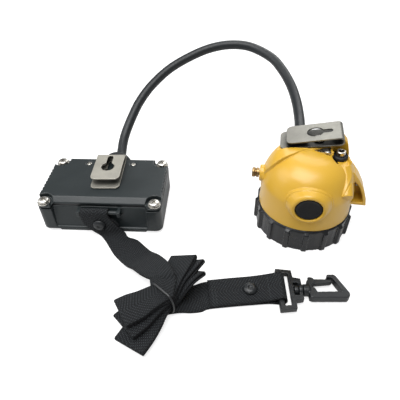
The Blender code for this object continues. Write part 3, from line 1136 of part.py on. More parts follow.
def head_top():
    """Clip with its screw, the small tab with its screw, and the contact tube in its bush."""
    spring_clip("head_clip", HEAD_CLIP, (HEAD_CLIP_SCREW,), HEAD_GRIP)
    away, across = HEAD_CLIP_SCREW
    cross_head("head_clip_screw", HEAD_SCREW, 1.9 * MM, RIVET_RADIUS, 4.0 * MM, (-away, across), HEAD_GRIP,
               CLIP_THICKNESS + GAP)
    tab = flat("clip_tab", tab_outline(0.0), TAB_THICKNESS, HEAD_GRIP, STEEL,
               place=lift(TAB_LEVEL + TAB_THICKNESS / 2))
    cut(tab, rod("tab_hole", 0.7 * MM + GAP, (*TAB_SCREW, TAB_LEVEL - MM), (*TAB_SCREW, TAB_LEVEL + 2 * MM),
                 HEAD_GRIP, sides=16))
    cross_head("tab_screw", TAB_SCREW_HEAD, 0.9 * MM, 0.7 * MM, 2.4 * MM, TAB_SCREW, HEAD_GRIP,
               TAB_LEVEL + TAB_THICKNESS + GAP, recess=0.6)
    bush = turned("contact_bush", [(BUSH_RADIUS - 0.6 * MM, BUSH_TOP), (BUSH_RADIUS, BUSH_TOP - 0.6 * MM),
                                   (BUSH_RADIUS, BUSH_SEAT + GAP), (TUBE_RADIUS + GAP, BUSH_SEAT + GAP),
                                   (TUBE_RADIUS + GAP, BUSH_TOP)], HEAD, RUBBER, closed=True, steps=20)
    tube = turned("contact_tube", [(TUBE_BORE, TUBE_TOP), (TUBE_RADIUS - 0.3 * MM, TUBE_TOP),
                                   (TUBE_RADIUS, TUBE_TOP - 0.3 * MM), (TUBE_RADIUS, 46.4 * MM), (0, 46.4 * MM),
                                   (0, 50.0 * MM), (TUBE_BORE, 50.0 * MM)], HEAD, STEEL, closed=False, steps=20)
    close_profile(tube)
    bush.location = tube.location = (*BUSH_PLACE, 0)


def close_profile(item):
    """Joins the ends of a turned profile that doesn't start on the axis."""
    bm = bmesh.new()
    bm.from_mesh(item.data)
    bm.verts.ensure_lookup_table()
    bm.edges.new((bm.verts[-1], bm.verts[0]))
    bm.to_mesh(item.data)
    bm.free()


def head_gland():
    """Tapered rubber strain relief on the rear boss."""
    start, tip = HEAD_GLAND_SEAT + GAP, HEAD_GLAND_TIP
    profile = [(0, tip), (CABLE_RADIUS + 0.9 * MM, tip), (CABLE_RADIUS + 1.6 * MM, start + 3.4 * MM),
               (HEAD_GLAND_BOSS - 0.8 * MM, start + 2.6 * MM), (HEAD_GLAND_BOSS - 0.3 * MM, start + 1.6 * MM),
               (HEAD_GLAND_BOSS - 0.3 * MM, start), (0, start)]
    gland = turned("head_gland", profile, HEAD, RUBBER, steps=24)
    gland.rotation_euler = (radians(-90), 0, HEAD_GLAND_TURN)
    gland.location = (0, 0, HEAD_GLAND_Z)


# ---------------------------------------------------------------------------------------------------- cable

def curve_point(points, i, t):
    """A point on a smooth curve through the route's points."""
    a, b, c, d = (points[min(max(k, 0), len(points) - 1)] for k in (i - 1, i, i + 1, i + 2))
    return 0.5 * (2 * b + (c - a) * t + (2 * a - 5 * b + 4 * c - d) * t * t + (3 * b - a - 3 * c + d) * t ** 3)


def cable():
    """Round rubber cable that stands in an arch between the two glands."""
    tip = REAR_PANEL + GLAND_LENGTH + GLAND_NOSE + 2 * GAP
    points = [Vector((GLAND_X, tip, GLAND_Z))] + [Vector(p) * MM for p in ROUTE]
    fine = [curve_point(points, i, k / 20) for i in range(len(points) - 1) for k in range(20)] + [points[-1]]
    total = sum((b - a).length for a, b in zip(fine, fine[1:]))
    count = round(total / ROUTE_STEP)
    spots, walked, step = [], 0.0, total / count
    for a, b in zip(fine, fine[1:]):
        walked += (b - a).length
        if walked >= step * (len(spots) + 1) and len(spots) < count - 1:
            spots.append(b)
    leave = radians(90) + HEAD_GLAND_TURN + HEAD_TURN
    straight = CABLE_RADIUS
    kept = [fine[0], fine[0] + Vector((0, straight, 0)), *spots,
            fine[-1] + Vector((cos(leave), sin(leave), 0)) * straight, fine[-1]]
    curve = bpy.data.curves.new("cable", 'CURVE')
    curve.dimensions = '3D'
    curve.bevel_depth = CABLE_RADIUS
    curve.bevel_resolution = 3
    curve.use_fill_caps = True
    spline = curve.splines.new('POLY')
    spline.points.add(len(kept) - 1)
    for point, spot in zip(spline.points, kept):
        point.co = (*spot, 1)
    add("cable", curve, BATTERY, RUBBER)


for stale in list(bpy.data.objects):
    bpy.data.objects.remove(stale)
PARTS = collection("miners_cap_lamp")
HELPERS = collection("cutters")
BATTERY = frame_empty("battery_frame", BATTERY_PLACE)
HEAD = frame_empty("head_frame", HEAD_PLACE, HEAD_TURN)
RING = frame_empty("ring_axis", HEAD_PLACE, HEAD_TURN)
BATTERY_GRIP = frame_empty("battery_clip_frame", (*BATTERY_CLIP_FOLD, LID_TOP + GAP), BATTERY_CLIP_TURN,
                           parent=BATTERY)
HEAD_GRIP = frame_empty("head_clip_frame", HEAD_CLIP_FOLD, tilt=HEAD_CLIP_TILT, parent=HEAD)
HOOK = frame_empty("hook_axis", (BATTERY_PLACE[0] + HOOK_PLACE[0], BATTERY_PLACE[1] + HOOK_PLACE[1], HOOK_AXIS_Z),
                   HOOK_TURN)

battery_case()
lid_gasket()
battery_lid()
lid_fasteners()
battery_clip_set()
battery_gland()
battery_inside()
strap_lead()
strap_hank()
hank_tie()
strap_tail()
strap_rivets()
hook_frame()
hook, joined, room, pin = snap_hook()
join(hook, *joined)
cut(hook, room)
join(hook, pin)
hook_gate()
head_shell()
lens_ring()
lens_set()
head_inside()
button_cap()
contact_pin()
charge_post()
head_top()
head_gland()
cable()
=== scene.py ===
"""The looks of a miner's cap lamp: a belt battery, an arched cable, the head piece, a folded strap and its hook."""
from math import cos, pi, radians, sin

import bmesh
import bpy
from mathutils import Matrix, Vector
from mathutils.kdtree import KDTree


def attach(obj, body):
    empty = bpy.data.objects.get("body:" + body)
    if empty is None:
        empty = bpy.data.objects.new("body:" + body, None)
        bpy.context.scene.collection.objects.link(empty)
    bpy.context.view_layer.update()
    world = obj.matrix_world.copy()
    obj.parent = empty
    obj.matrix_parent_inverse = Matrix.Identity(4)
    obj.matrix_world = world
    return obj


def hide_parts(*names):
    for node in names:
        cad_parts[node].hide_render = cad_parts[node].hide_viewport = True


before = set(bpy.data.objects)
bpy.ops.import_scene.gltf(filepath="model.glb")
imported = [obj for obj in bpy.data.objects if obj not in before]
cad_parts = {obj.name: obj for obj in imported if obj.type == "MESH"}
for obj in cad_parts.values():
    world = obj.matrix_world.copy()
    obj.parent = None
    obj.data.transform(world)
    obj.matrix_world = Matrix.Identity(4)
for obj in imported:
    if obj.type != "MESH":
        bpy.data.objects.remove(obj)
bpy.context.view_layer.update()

# ---- Camera, floor and light
# The lamp is seen from in front and well above, some 0.3 m away. It lies on a plain white floor in soft studio
# light: a pale surround, one wide lamp above and in front, and two weaker ones, on the left and behind.
camera_spot = (0.01432, -0.18804, 0.21726)
swing, tilt, roll = radians(3.95), radians(47.95), radians(-1.18)
camera_data = bpy.data.cameras.new("camera")
camera_data.sensor_width = 36.0
camera_data.lens = 36.1
camera_data.clip_start = 0.01
camera = bpy.data.objects.new("camera", camera_data)
camera.matrix_world = (Matrix.Translation(camera_spot) @ Matrix.Rotation(swing, 4, 'Z')
                       @ Matrix.Rotation(tilt, 4, 'X') @ Matrix.Rotation(roll, 4, 'Z'))
bpy.context.scene.collection.objects.link(camera)
bpy.context.scene.camera = camera
bpy.context.scene.view_settings.view_transform = 'Standard'


class Wire:
    """An output socket that takes part in sums."""

    def __init__(self, nodes, socket):
        self.nodes = nodes
        self.socket = socket

    def sum_with(self, operation, *others):
        return self.nodes.node("Math", {"operation": operation}, dict(enumerate((self, *others))))

    def __add__(self, other):
        return self.sum_with('ADD', other)

    def __sub__(self, other):
        return self.sum_with('SUBTRACT', other)

    def __rsub__(self, other):
        return self.nodes.node("Math", {"operation": 'SUBTRACT'}, {0: other, 1: self})

    def __mul__(self, other):
        return self.sum_with('MULTIPLY', other)

    def __gt__(self, other):
        return self.sum_with('GREATER_THAN', other)

    def __lt__(self, other):
        return self.sum_with('LESS_THAN', other)

    def __abs__(self):
        return self.sum_with('ABSOLUTE')

    __radd__ = __add__
    __rmul__ = __mul__


class Nodes:
    """The nodes of one material or of the world, all made by one method."""

    def __init__(self, tree):
        self.tree = tree

    def feed(self, socket, value):
        if isinstance(value, Wire):
            self.tree.links.new(value.socket, socket)
        else:
            socket.default_value = value

    def node(self, kind, settings, inputs, output=0):
        """A node of a kind: its settings come first, then its sockets' values or links."""
        made = self.tree.nodes.new("ShaderNode" + kind)
        for name, value in settings.items():
            setattr(made, name, value)
        for name, value in inputs.items():
            self.feed(made.inputs[name], value)
        return Wire(self, made.outputs[output])

    def for_camera(self, hidden, seen):
        """One shader where the camera looks straight at a surface, and another for all other light."""
        to_camera = self.node("LightPath", {}, {}, "Is Camera Ray")
        return self.node("MixShader", {}, {0: to_camera, 1: hidden, 2: seen})


def grey(level):
    """A plain grey, from 0, black, to 1, white."""
    return (level, level, level, 1)


floor_size = 8.0
floor_bm = bmesh.new()
bmesh.ops.create_grid(floor_bm, x_segments=2, y_segments=2, size=floor_size / 2)
floor_mesh = bpy.data.meshes.new("floor")
floor_bm.to_mesh(floor_mesh)
floor_bm.free()
floor = bpy.data.objects.new("floor", floor_mesh)
bpy.context.scene.collection.objects.link(floor)
floor_paper = bpy.data.materials.new("floor")
floor_paper.use_nodes = True
paper = Nodes(floor_paper.node_tree)
matt = paper.node("BsdfDiffuse", {}, {"Color": grey(0.6)})
glow = paper.node("Emission", {}, {"Strength": 0.72})
lit = paper.node("BsdfDiffuse", {}, {"Color": grey(0.42)})
paper.feed(paper.tree.nodes["Material Output"].inputs["Surface"],
           paper.for_camera(matt, paper.node("AddShader", {}, {0: glow, 1: lit})))
floor_mesh.materials.append(floor_paper)

world = bpy.data.worlds.new("studio")
bpy.context.scene.world = world
world.use_nodes = True
studio = Nodes(world.node_tree)
surround = studio.node("Background", {}, {"Color": grey(1), "Strength": 0.32})
backdrop = studio.node("Background", {}, {"Color": grey(1), "Strength": 1.0})
studio.feed(studio.tree.nodes["World Output"].inputs["Surface"], studio.for_camera(surround, backdrop))
lamps_aim = Vector((0, 0, 0.02))
for name, spot, size, power in (("key", (-0.15, -0.15, 1.0), 0.8, 12.5), ("left", (-0.85, 0.05, 0.6), 0.7, 3.5),
                                ("back", (0.25, 0.85, 0.6), 0.7, 4.5)):
    lamp = bpy.data.lights.new(name, 'AREA')
    lamp.shape = 'SQUARE'
    lamp.size = size
    lamp.energy = power
    holder = bpy.data.objects.new(name, lamp)
    turn = (lamps_aim - Vector(spot)).to_track_quat('-Z', 'Y').to_matrix().to_4x4()
    holder.matrix_world = Matrix.Translation(spot) @ turn
    bpy.context.scene.collection.objects.link(holder)


# ---- Cable
# An 8 mm round cable of black rubber. It is stiff enough to stand in an arch between the battery's gland and the
# head piece's strain relief, and its sheath is matt from the extruder, with fine drag lines along it.
class Finish(Nodes):
    """A surface finish: a Principled shader and the nodes that vary it."""

    def __init__(self, name, colour, roughness, metallic=0.0, **fixed):
        self.material = bpy.data.materials.new(name)
        self.material.use_nodes = True
        super().__init__(self.material.node_tree)
        self.shader = self.tree.nodes["Principled BSDF"]
        self.set(Base_Color=(*colour, 1), Roughness=roughness, Metallic=metallic, **fixed)
        self.place = self.node("TexCoord", {}, {}, "Object")

    def set(self, **values):
        for name, value in values.items():
            self.feed(self.shader.inputs[name.replace("_", " ")], value)

    def noise(self, scale, detail=3.0, place=None):
        return self.node("TexNoise", {}, {"Vector": place or self.place, "Scale": scale, "Detail": detail})

    def stretched(self, x, y, z):
        return self.node("Mapping", {}, {"Vector": self.place, "Scale": (x, y, z)})

    def between(self, share, low, high):
        """A value from low to high, over the middle stretch in which noise mostly lies."""
        return self.node("MapRange", {"clamp": True}, {"Value": share, "From Min": 0.3, "From Max": 0.7,
                                                       "To Min": low, "To Max": high})

    def tints(self, share, first, second):
        return self.node("Mix", {"data_type": 'RGBA'}, {0: share, 6: (*first, 1), 7: (*second, 1)}, 2)

    def unshaded_share(self, reach):
        """How open a place is, used to paint shade into a colour: 1 on a free face, less in a crevice."""
        return self.node("AmbientOcclusion", {"samples": 8}, {"Distance": reach}, 1)

    def bumps(self, height, distance, strength=1.0):
        return self.node("Bump", {}, {"Height": height, "Distance": distance, "Strength": strength})


def settle(piece, finish, body, slot, *nodes):
    """Gives a piece its finish, the body it rides on and the CAD nodes it stands for."""
    piece.data.materials.clear()
    piece.data.materials.append(finish.material)
    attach(piece, body)
    if nodes:
        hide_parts(*nodes)
    return piece


MM = 0.001
CABLE_RADIUS = 4.0 * MM
BATTERY = Matrix.Translation((-72.56 * MM, 41.99 * MM, 0))
HEAD = Matrix.Translation((75.24 * MM, 35.09 * MM, 0)) @ Matrix.Rotation(radians(-7.3), 4, 'Z')
cable_route = ((1.0, 41.6, 16.4), (0.98, 45.6, 16.5), (0.9, 50.0, 17.5), (0.7, 59.6, 20.8), (1.9, 68.2, 25.1),
               (6.4, 80.6, 33.9), (12.3, 94.0, 42.4), (21.9, 108.4, 50.9), (36.8, 123.4, 59.6), (55.3, 134.0, 66.9),
               (73.5, 140.7, 72.1), (91.9, 142.9, 74.7), (110.4, 139.2, 74.4), (128.0, 125.2, 71.0),
               (137.1, 109.7, 66.6), (143.8, 91.4, 60.8), (146.8, 71.5, 56.0), (147.0, 52.0, 53.0),
               (146.08, 38.9, 52.0), (145.9, 34.9, 52.0))


def along(points, steps):
    """Points on one smooth curve through a route."""
    points = [points[0], *points, points[-1]]
    fine = []
    for a, b, c, d in zip(points, points[1:], points[2:], points[3:]):
        for k in range(steps):
            t = k / steps
            fine.append(0.5 * (2 * b + (c - a) * t + (2 * a - 5 * b + 4 * c - d) * t * t
                               + (3 * b - a - 3 * c + d) * t ** 3))
    return fine + [points[-1]]


def cord_curve(name, points, radius, closed=False):
    """A round cord along points."""
    data = bpy.data.curves.new(name, 'CURVE')
    data.dimensions = '3D'
    data.bevel_depth = radius
    data.bevel_resolution = 6
    data.use_fill_caps = True
    spline = data.splines.new('POLY')
    spline.points.add(len(points) - 1)
    for point, spot in zip(spline.points, points):
        point.co = (*spot, 1)
    spline.use_cyclic_u = closed
    piece = bpy.data.objects.new(name, data)
    bpy.context.scene.collection.objects.link(piece)
    return piece


cable_line = along([BATTERY @ (Vector(p) * MM) for p in cable_route], 8)
cable = cord_curve("cable_sheath", cable_line, CABLE_RADIUS)
sheath = Finish("cable_rubber", (0.009, 0.011, 0.013), 0.45, Specular_IOR_Level=0.4)
sheath_grain = sheath.noise(900.0)
sheath_cloud = sheath.noise(60.0)
sheath.set(Base_Color=sheath.tints(sheath_cloud, (0.007, 0.009, 0.011), (0.013, 0.016, 0.018)),
           Roughness=sheath.between(sheath_grain, 0.36, 0.52),
           Normal=sheath.bumps(sheath_grain, 0.00008, 0.5))
settle(cable, sheath, "lamp", "rubber", "cable")
cable_length = sum((b - a).length for a, b in zip(cable_line, cable_line[1:]))


# ---- Strap
# One length of 20 mm black polypropylene webbing, about 1.1 mm thick. It loops round the battery's lug bar, is
# folded to and fro into a hank, and ends in a sewn loop on the hook's frame. Both loops are riveted and stitched.
WEB = 20.0 * MM
WEB_WALL = 1.1 * MM
WAIST = Vector((53.0, -90.0)) * MM
FLOOR_GAP = 0.3


def level_rail(x, y, z, heading):
    """Both edges of webbing that lies level, with its heading in degrees, from the battery's middle."""
    across = Vector((-sin(radians(heading)), cos(radians(heading)), 0)) * WEB / 2
    centre = Vector((x, y, z)) * MM
    return (centre - across, centre + across)


def bar_loop(centre, radius, start, end, count, across, out, up):
    """Webbing on an arc round a bar."""
    rails = []
    for i in range(count):
        t = radians(start + (end - start) * i / (count - 1))
        point = centre + out * radius * cos(t) + up * radius * sin(t)
        rails.append((point - across, point + across))
    return rails


def hank_point(angle, reach):
    """A point in millimetres at an angle and distance from the hank's waist."""
    return (WAIST.x / MM + reach * cos(radians(angle)), WAIST.y / MM + reach * sin(radians(angle)))


def ease(value, start, end):
    """A share that goes softly from 0 at the start to 1 at the end."""
    share = min(1.0, max(0.0, (value - start) / (end - start)))
    return share * share * (3 - 2 * share)


def rolled_rail(centre, heading, roll, narrow=1.0, aside=0.0):
    """Both edges of webbing whose left edge is rolled down by an angle, seen along its heading."""
    left = Vector((-sin(radians(heading)), cos(radians(heading)), 0))
    up = Vector((0, 0, 1))
    across = left * cos(radians(roll)) - up * sin(radians(roll))
    normal = up * cos(radians(roll)) + left * sin(radians(roll))
    centre = centre + normal * aside
    return (centre - across * WEB / 2 * narrow, centre + across * WEB / 2 * narrow)


# Each fold of the hank has an angle, a reach from the waist, a roll and, for the lobes on edge, its height. The
# hank's reaches, heights and pitch are plain millimetres, and become metres as they are made into rails.
hank_ends = ((92, 9.0, 0, None), (213, 25.5, 0, None), (71, 32.0, 26, 11.6), (226, 27.5, 0, None),
             (59, 33.0, 38, 9.4), (243, 33.0, 0, None), (46, 27.5, 40, 9.2), (213, 24.0, 0, None),
             (17, 22.0, 0, None))
web_pitch, waist_lift = 1.9, 1.8
waist_width = 0.8
layers = len(hank_ends) - 1
bottom_level = FLOOR_GAP + WEB_WALL / MM / 2 + waist_lift
hank = []
for i in range(layers):
    (angle_in, reach_in, roll_in, up_in), (angle_out, reach_out, roll_out, up_out) = hank_ends[i], hank_ends[i + 1]
    level = bottom_level + (layers - 1 - i) * web_pitch
    heading_in = angle_in + 180
    heading_out = heading_in + (angle_out - heading_in + 180) % 360 - 180
    middle = (heading_in + heading_out) / 2
    for run_in, angle, reach, roll, lifted in ((True, angle_in, reach_in, roll_in, up_in),
                                               (False, angle_out, reach_out, roll_out, up_out)):
        heading = heading_in if run_in else heading_out
        half = web_pitch / 2 * (-1 if run_in else 1)
        if (i, run_in) in ((0, True), (layers - 1, False)):
            half = 0.0
        lobe = level - half
        tip = lifted or lobe - (0.0 if (i, run_in) == (0, True) else waist_lift)
        run = []
        for part in (0.2, 0.42, 0.7, 1.0):
            far = reach * part
            x, y = hank_point(angle, far)
            height = lobe + (tip - lobe) * ease(far, 0, 22)
            outward = angle + ((middle - heading + 180) % 360 - 180) * (1 - part)
            run.append(rolled_rail(Vector((x, y, height)) * MM, outward, roll * ease(far, 3, 17),
                                   waist_width + (1 - waist_width) * ease(far, 6, 20), half * MM))
        if run_in:
            hank += run[::-1]
            hank.append(rolled_rail(Vector((*WAIST, level * MM)), middle, 0, waist_width))
        else:
            hank += run
            if i < layers - 1:
                for t in (30, 60, 90, 120, 150):
                    bend = web_pitch / 2 * sin(radians(t))
                    x, y = hank_point(angle, reach + bend)
                    hank.append(rolled_rail(Vector((x, y, tip)) * MM, angle, roll, 1.0,
                                            web_pitch / 2 * cos(radians(t)) * MM))

front = [((-12.6, -30.3, 14.5), (7.6, -30.3, 17.5)), ((-9.6, -30.9, 8.5), (10.4, -30.9, 13.5)),
         ((-5.0, -31.4, 4.0), (14.0, -31.3, 8.6)), ((-0.6, -33.0, 1.7), (17.8, -32.0, 4.4)),
         ((4.6, -38.4, 0.95), (20.6, -34.3, 1.9))]
front = [tuple(Vector(p) * MM for p in pair) for pair in front]
shift = Vector((0, 2.0, 0.6)) * MM
behind = [(Vector((-12.6, -28.65, 13.4)) * MM, Vector((7.6, -28.65, 15.2)) * MM)]
behind += [(a + shift, b + shift) for a, b in front[1:3]]
lug_turn = bar_loop(Vector((-2.8, -27.4, 19.5)) * MM, 2.45 * MM, 280, 0, 14, Vector((WEB / 2, 0, 0)),
                    Vector((0, -1, 0)), Vector((0, 0, 1)))
lead = behind[::-1] + lug_turn + front
lead += [level_rail(20.5, -43.5, 0.95, -46), level_rail(31.0, -54.5, 3.2, -47)]
lead += [rolled_rail(Vector(spot) * MM, heading, roll, narrow)
         for spot, heading, roll, narrow in (((38.5, -62.5, 9.2), 129, 0, 1.0), ((45.4, -71.3, 14.4), 120, 4, 0.97),
                                             ((50.4, -78.0, 16.6), 104, 8, 0.86))]
under = [level_rail(80.0, -81.3, 1.3, 9), level_rail(95.0, -79.2, 1.9, 8), level_rail(107.0, -77.6, 2.0, 7),
         level_rail(118.0, -76.0, 1.6, 5)]
hook_turn = radians(2.0)
tail_turn = bar_loop(Vector((125.9, -75.7, 4.0)) * MM, 3.175 * MM, -90, 90, 9,
                     Vector((-sin(hook_turn), cos(hook_turn), 0)) * WEB / 2,
                     Vector((cos(hook_turn), sin(hook_turn), 0)), Vector((0, 0, 1)))
over = [level_rail(118.0, -76.0, 4.6, 5), level_rail(107.0, -77.6, 3.7, 7), level_rail(95.0, -79.2, 3.5, 8),
        level_rail(81.0, -81.2, 3.0, 9)]
rails = [lead[0]]
for a, b in (lead + hank + under + tail_turn + over)[1:]:
    p, q = rails[-1]
    rails.append((a, b) if (a - p).length + (b - q).length <= (b - p).length + (a - q).length else (b, a))
left = along([BATTERY @ a for a, b in rails], 5)
right = along([BATTERY @ b for a, b in rails], 5)

strap_bm = bmesh.new()
strap_uv = strap_bm.loops.layers.uv.new("cut")
columns = 8
rows, lengths, walked = [], [], 0.0
for i, (a, b) in enumerate(zip(left, right)):
    if i:
        walked += ((a + b) / 2 - (left[i - 1] + right[i - 1]) / 2).length
    rows.append([strap_bm.verts.new(a.lerp(b, k / columns)) for k in range(columns + 1)])
    lengths.append(walked)
for i in range(len(rows) - 1):
    for k in range(columns):
        face = strap_bm.faces.new((rows[i][k], rows[i][k + 1], rows[i + 1][k + 1], rows[i + 1][k]))
        spots = ((k, i), (k + 1, i), (k + 1, i + 1), (k, i + 1))
        for loop, (column, row) in zip(face.loops, spots):
            loop[strap_uv].uv = (column / columns * WEB, lengths[row])
        face.smooth = True
strap_mesh = bpy.data.meshes.new("strap")
strap_bm.to_mesh(strap_mesh)
strap_bm.free()
strap = bpy.data.objects.new("strap", strap_mesh)
bpy.context.scene.collection.objects.link(strap)
wall = strap.modifiers.new("cloth", 'SOLIDIFY')
wall.thickness = WEB_WALL
wall.offset = 0

weave = Finish("webbing", (0.01, 0.011, 0.012), 0.8, Specular_IOR_Level=0.3)
cut = weave.node("UVMap", {"uv_map": "cut"}, {})
across_web = weave.node("SeparateXYZ", {}, {0: cut})
along_web = weave.node("SeparateXYZ", {}, {0: cut}, 1)
yarn_width, float_length, twill_step = 1.0 * MM, 1.9 * MM, 0.34
yarn = across_web * (1 / yarn_width)
lane = abs(yarn.sum_with('FLOOR') - (WEB / yarn_width - 1) / 2)
floats = along_web * (1 / float_length) + lane * twill_step
crown = (yarn.sum_with('FRACT') * pi).sum_with('SINE') * ((floats.sum_with('FRACT') * pi).sum_with('SINE'))
fuzz = weave.noise(2600.0, 2.0)
worn = weave.noise(45.0)
strap_end = lengths[-1]
thread, stitch_pitch, stitch_share, selvedge_width = 0.7 * MM, 2.4 * MM, 0.72, 1.2 * MM
stitches = 0.0
for place in (strap_end - 2.5 * MM, strap_end - 4.3 * MM, strap_end - 38.5 * MM, 2.5 * MM, 4.5 * MM):
    dashes = (across_web * (1 / stitch_pitch)).sum_with('FRACT') < stitch_share
    stitches = (abs(along_web - place) < thread / 2) * dashes + stitches
selvedge = abs(across_web - WEB / 2) > WEB / 2 - selvedge_width
pattern = crown * 0.8 + fuzz * 0.35 + stitches * 0.6 + selvedge * 0.15
# Painted highlight: the yarns' crowns are paler in the colour, as if catching the light; the colour is also paler
# where worn and along the stitches.
glint = (crown * 0.75 + fuzz * 0.45).sum_with('POWER', 3.0)
weave.set(Base_Color=weave.tints(glint + worn * 0.15 + stitches * 0.4, (0.001, 0.001, 0.002),
                                 (0.040, 0.046, 0.050)),
          Roughness=weave.between(fuzz, 0.72, 0.9), Normal=weave.bumps(pattern, 0.0006, 1.0))
settle(strap, weave, "lamp", "webbing", "strap_lead", "strap_hank", "strap_tail")

# ---- Hank's band
# A loose loop of round black rubber cord that holds the folded webbing together at its waist.
BAND_RADIUS = 0.7 * MM
low = 0.15 * MM + BAND_RADIUS
high = (bottom_level + (layers - 1) * web_pitch + 1.0) * MM + WEB_WALL / 2
rise = (high - low) / 2
bulge = rise * 0.55
wide = WEB / 2 * waist_width + 2.0 * MM - bulge
half_loop = [(wide + bulge * cos(radians(t)), rise * sin(radians(t))) for t in range(-90, 91, 6)]
band_line = half_loop + [(-side, up) for side, up in half_loop[::-1]]
band_turn = radians(50)
across = Vector((-sin(band_turn), cos(band_turn), 0))
band_line = [BATTERY @ (Vector((*WAIST, (low + high) / 2 + up)) + across * side) for side, up in band_line]
band = cord_curve("hank_band", band_line, BAND_RADIUS, closed=True)
soft_black = Finish("band_rubber", (0.012, 0.013, 0.014), 0.3, Specular_IOR_Level=0.6)
soft_grain = soft_black.noise(1500.0)
soft_black.set(Base_Color=soft_black.tints(soft_black.noise(120.0), (0.009, 0.01, 0.011), (0.017, 0.018, 0.02)),
               Roughness=soft_black.between(soft_grain, 0.28, 0.42), Normal=soft_black.bumps(soft_grain, 0.00006, 0.4))
settle(band, soft_black, "lamp", "rubber", "hank_tie")


# ---- Strap rivets
# Black nylon snap rivets, pressed through the sewn ends: a domed cap with a dimple on the front and a flat
# socket behind.
def spun(name, profile, place, steps=64):
    """A piece turned round its own Z axis from a profile of (radius, height) in millimetres."""
    bm = bmesh.new()
    verts = [bm.verts.new((r * MM, 0, z * MM)) for r, z in profile]
    edges = [bm.edges.new(pair) for pair in zip(verts, verts[1:])]
    if profile[0][0] > 0:
        edges.append(bm.edges.new((verts[-1], verts[0])))
    bmesh.ops.spin(bm, geom=verts + edges, cent=(0, 0, 0), axis=(0, 0, 1), dvec=(0, 0, 0), angle=2 * pi,
                   steps=steps, use_merge=True)
    bmesh.ops.remove_doubles(bm, verts=bm.verts, dist=0.004 * MM)
    bmesh.ops.recalc_face_normals(bm, faces=bm.faces)
    bmesh.ops.transform(bm, matrix=place, verts=bm.verts)
    return shown(name, bm)


def shown(name, bm, sharp=38):
    """An object at the origin from a finished bmesh, shaded smooth but for its sharp edges."""
    mesh = bpy.data.meshes.new(name)
    bm.to_mesh(mesh)
    bm.free()
    mesh.shade_smooth()
    mesh.set_sharp_from_angle(angle=radians(sharp))
    piece = bpy.data.objects.new(name, mesh)
    bpy.context.scene.collection.objects.link(piece)
    return piece


def welded(node):
    """A bmesh of a CAD node, with its loose triangles joined."""
    bm = bmesh.new()
    bm.from_mesh(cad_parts[node].data)
    bmesh.ops.remove_doubles(bm, verts=bm.verts, dist=0.002 * MM)
    return bm


def eased(name, node, width):
    """A copy of a CAD node with its flat faces joined up and its edges rounded."""
    bm = welded(node)
    bmesh.ops.dissolve_limit(bm, angle_limit=radians(1.0), verts=bm.verts, edges=bm.edges)
    piece = shown(name, bm, 40)
    bevel = piece.modifiers.new("edges", 'BEVEL')
    bevel.width = width * MM
    bevel.segments = 2
    bevel.limit_method = 'ANGLE'
    bevel.angle_limit = radians(30)
    return piece


def moulded(name, node, voxel, passes):
    """A copy of a CAD node with every edge and joint softened, as a moulding is."""
    piece = shown(name, welded(node), 180)
    skin = piece.modifiers.new("skin", 'REMESH')
    skin.mode = 'VOXEL'
    skin.voxel_size = voxel * MM
    skin.use_smooth_shade = True
    softening = piece.modifiers.new("ease", 'SMOOTH')
    softening.factor = 0.5
    softening.iterations = passes
    mesh = bpy.data.meshes.new_from_object(piece.evaluated_get(bpy.context.evaluated_depsgraph_get()))
    piece.modifiers.clear()
    piece.data = mesh
    mesh.shade_smooth()
    return piece


nylon = Finish("black_nylon", (0.009, 0.010, 0.012), 0.32, Specular_IOR_Level=0.5)
nylon_grain = nylon.noise(1100.0)
nylon_rub = nylon.noise(130.0)
nylon.set(Base_Color=nylon.tints(nylon_rub, (0.004, 0.005, 0.006), (0.010, 0.012, 0.014)),
          Roughness=nylon.between(nylon_grain, 0.3, 0.46), Normal=nylon.bumps(nylon_grain, 0.00009, 0.45))
for name, spot, normal, half in (("lead_rivet", (0.2, -29.85, 11.0), (0, -1, 0.02), 1.85),
                                 ("tail_rivet", (107.0, -77.6, 3.05), (0, 0, 1), 1.7)):
    set_in = (BATTERY @ Matrix.Translation(Vector(spot) * MM)
              @ Vector(normal).normalized().to_track_quat('Z', 'Y').to_matrix().to_4x4())
    face = half + 0.3
    cap = spun(name + "_button", [(0, face + 1.25), (0.9, face + 1.28), (1.15, face + 1.45), (1.45, face + 1.78),
                                  (1.8, face + 1.84), (2.6, face + 1.74), (3.3, face + 1.42), (3.9, face + 1.02),
                                  (4.35, face + 0.6), (4.5, face + 0.25), (4.5, face), (0, face)], set_in)
    settle(cap, nylon, "lamp", "hook", name + "_cap")
    base = spun(name + "_back", [(0, -face), (3.9, -face), (3.9, -face - 0.6), (3.7, -face - 0.8), (0, -face - 0.8)],
                set_in)
    settle(base, nylon, "lamp", "hook", name + "_socket")

# ---- Hook
# A moulded swivel hook of black nylon: a frame that holds the webbing, a body with a slanted nose that turns in
# it, and a sprung gate on a cross pin. Its edges are rounded by the mould.
settle(moulded("webbing_frame", "hook_frame", 0.22, 9), nylon, "hook_frame_body", "hook", "hook_frame")
settle(moulded("hook_body", "snap_hook", 0.24, 12), nylon, "snap_hook_body", "hook", "snap_hook")
settle(moulded("gate_finger", "hook_gate", 0.16, 10), nylon, "gate", "hook", "hook_gate")

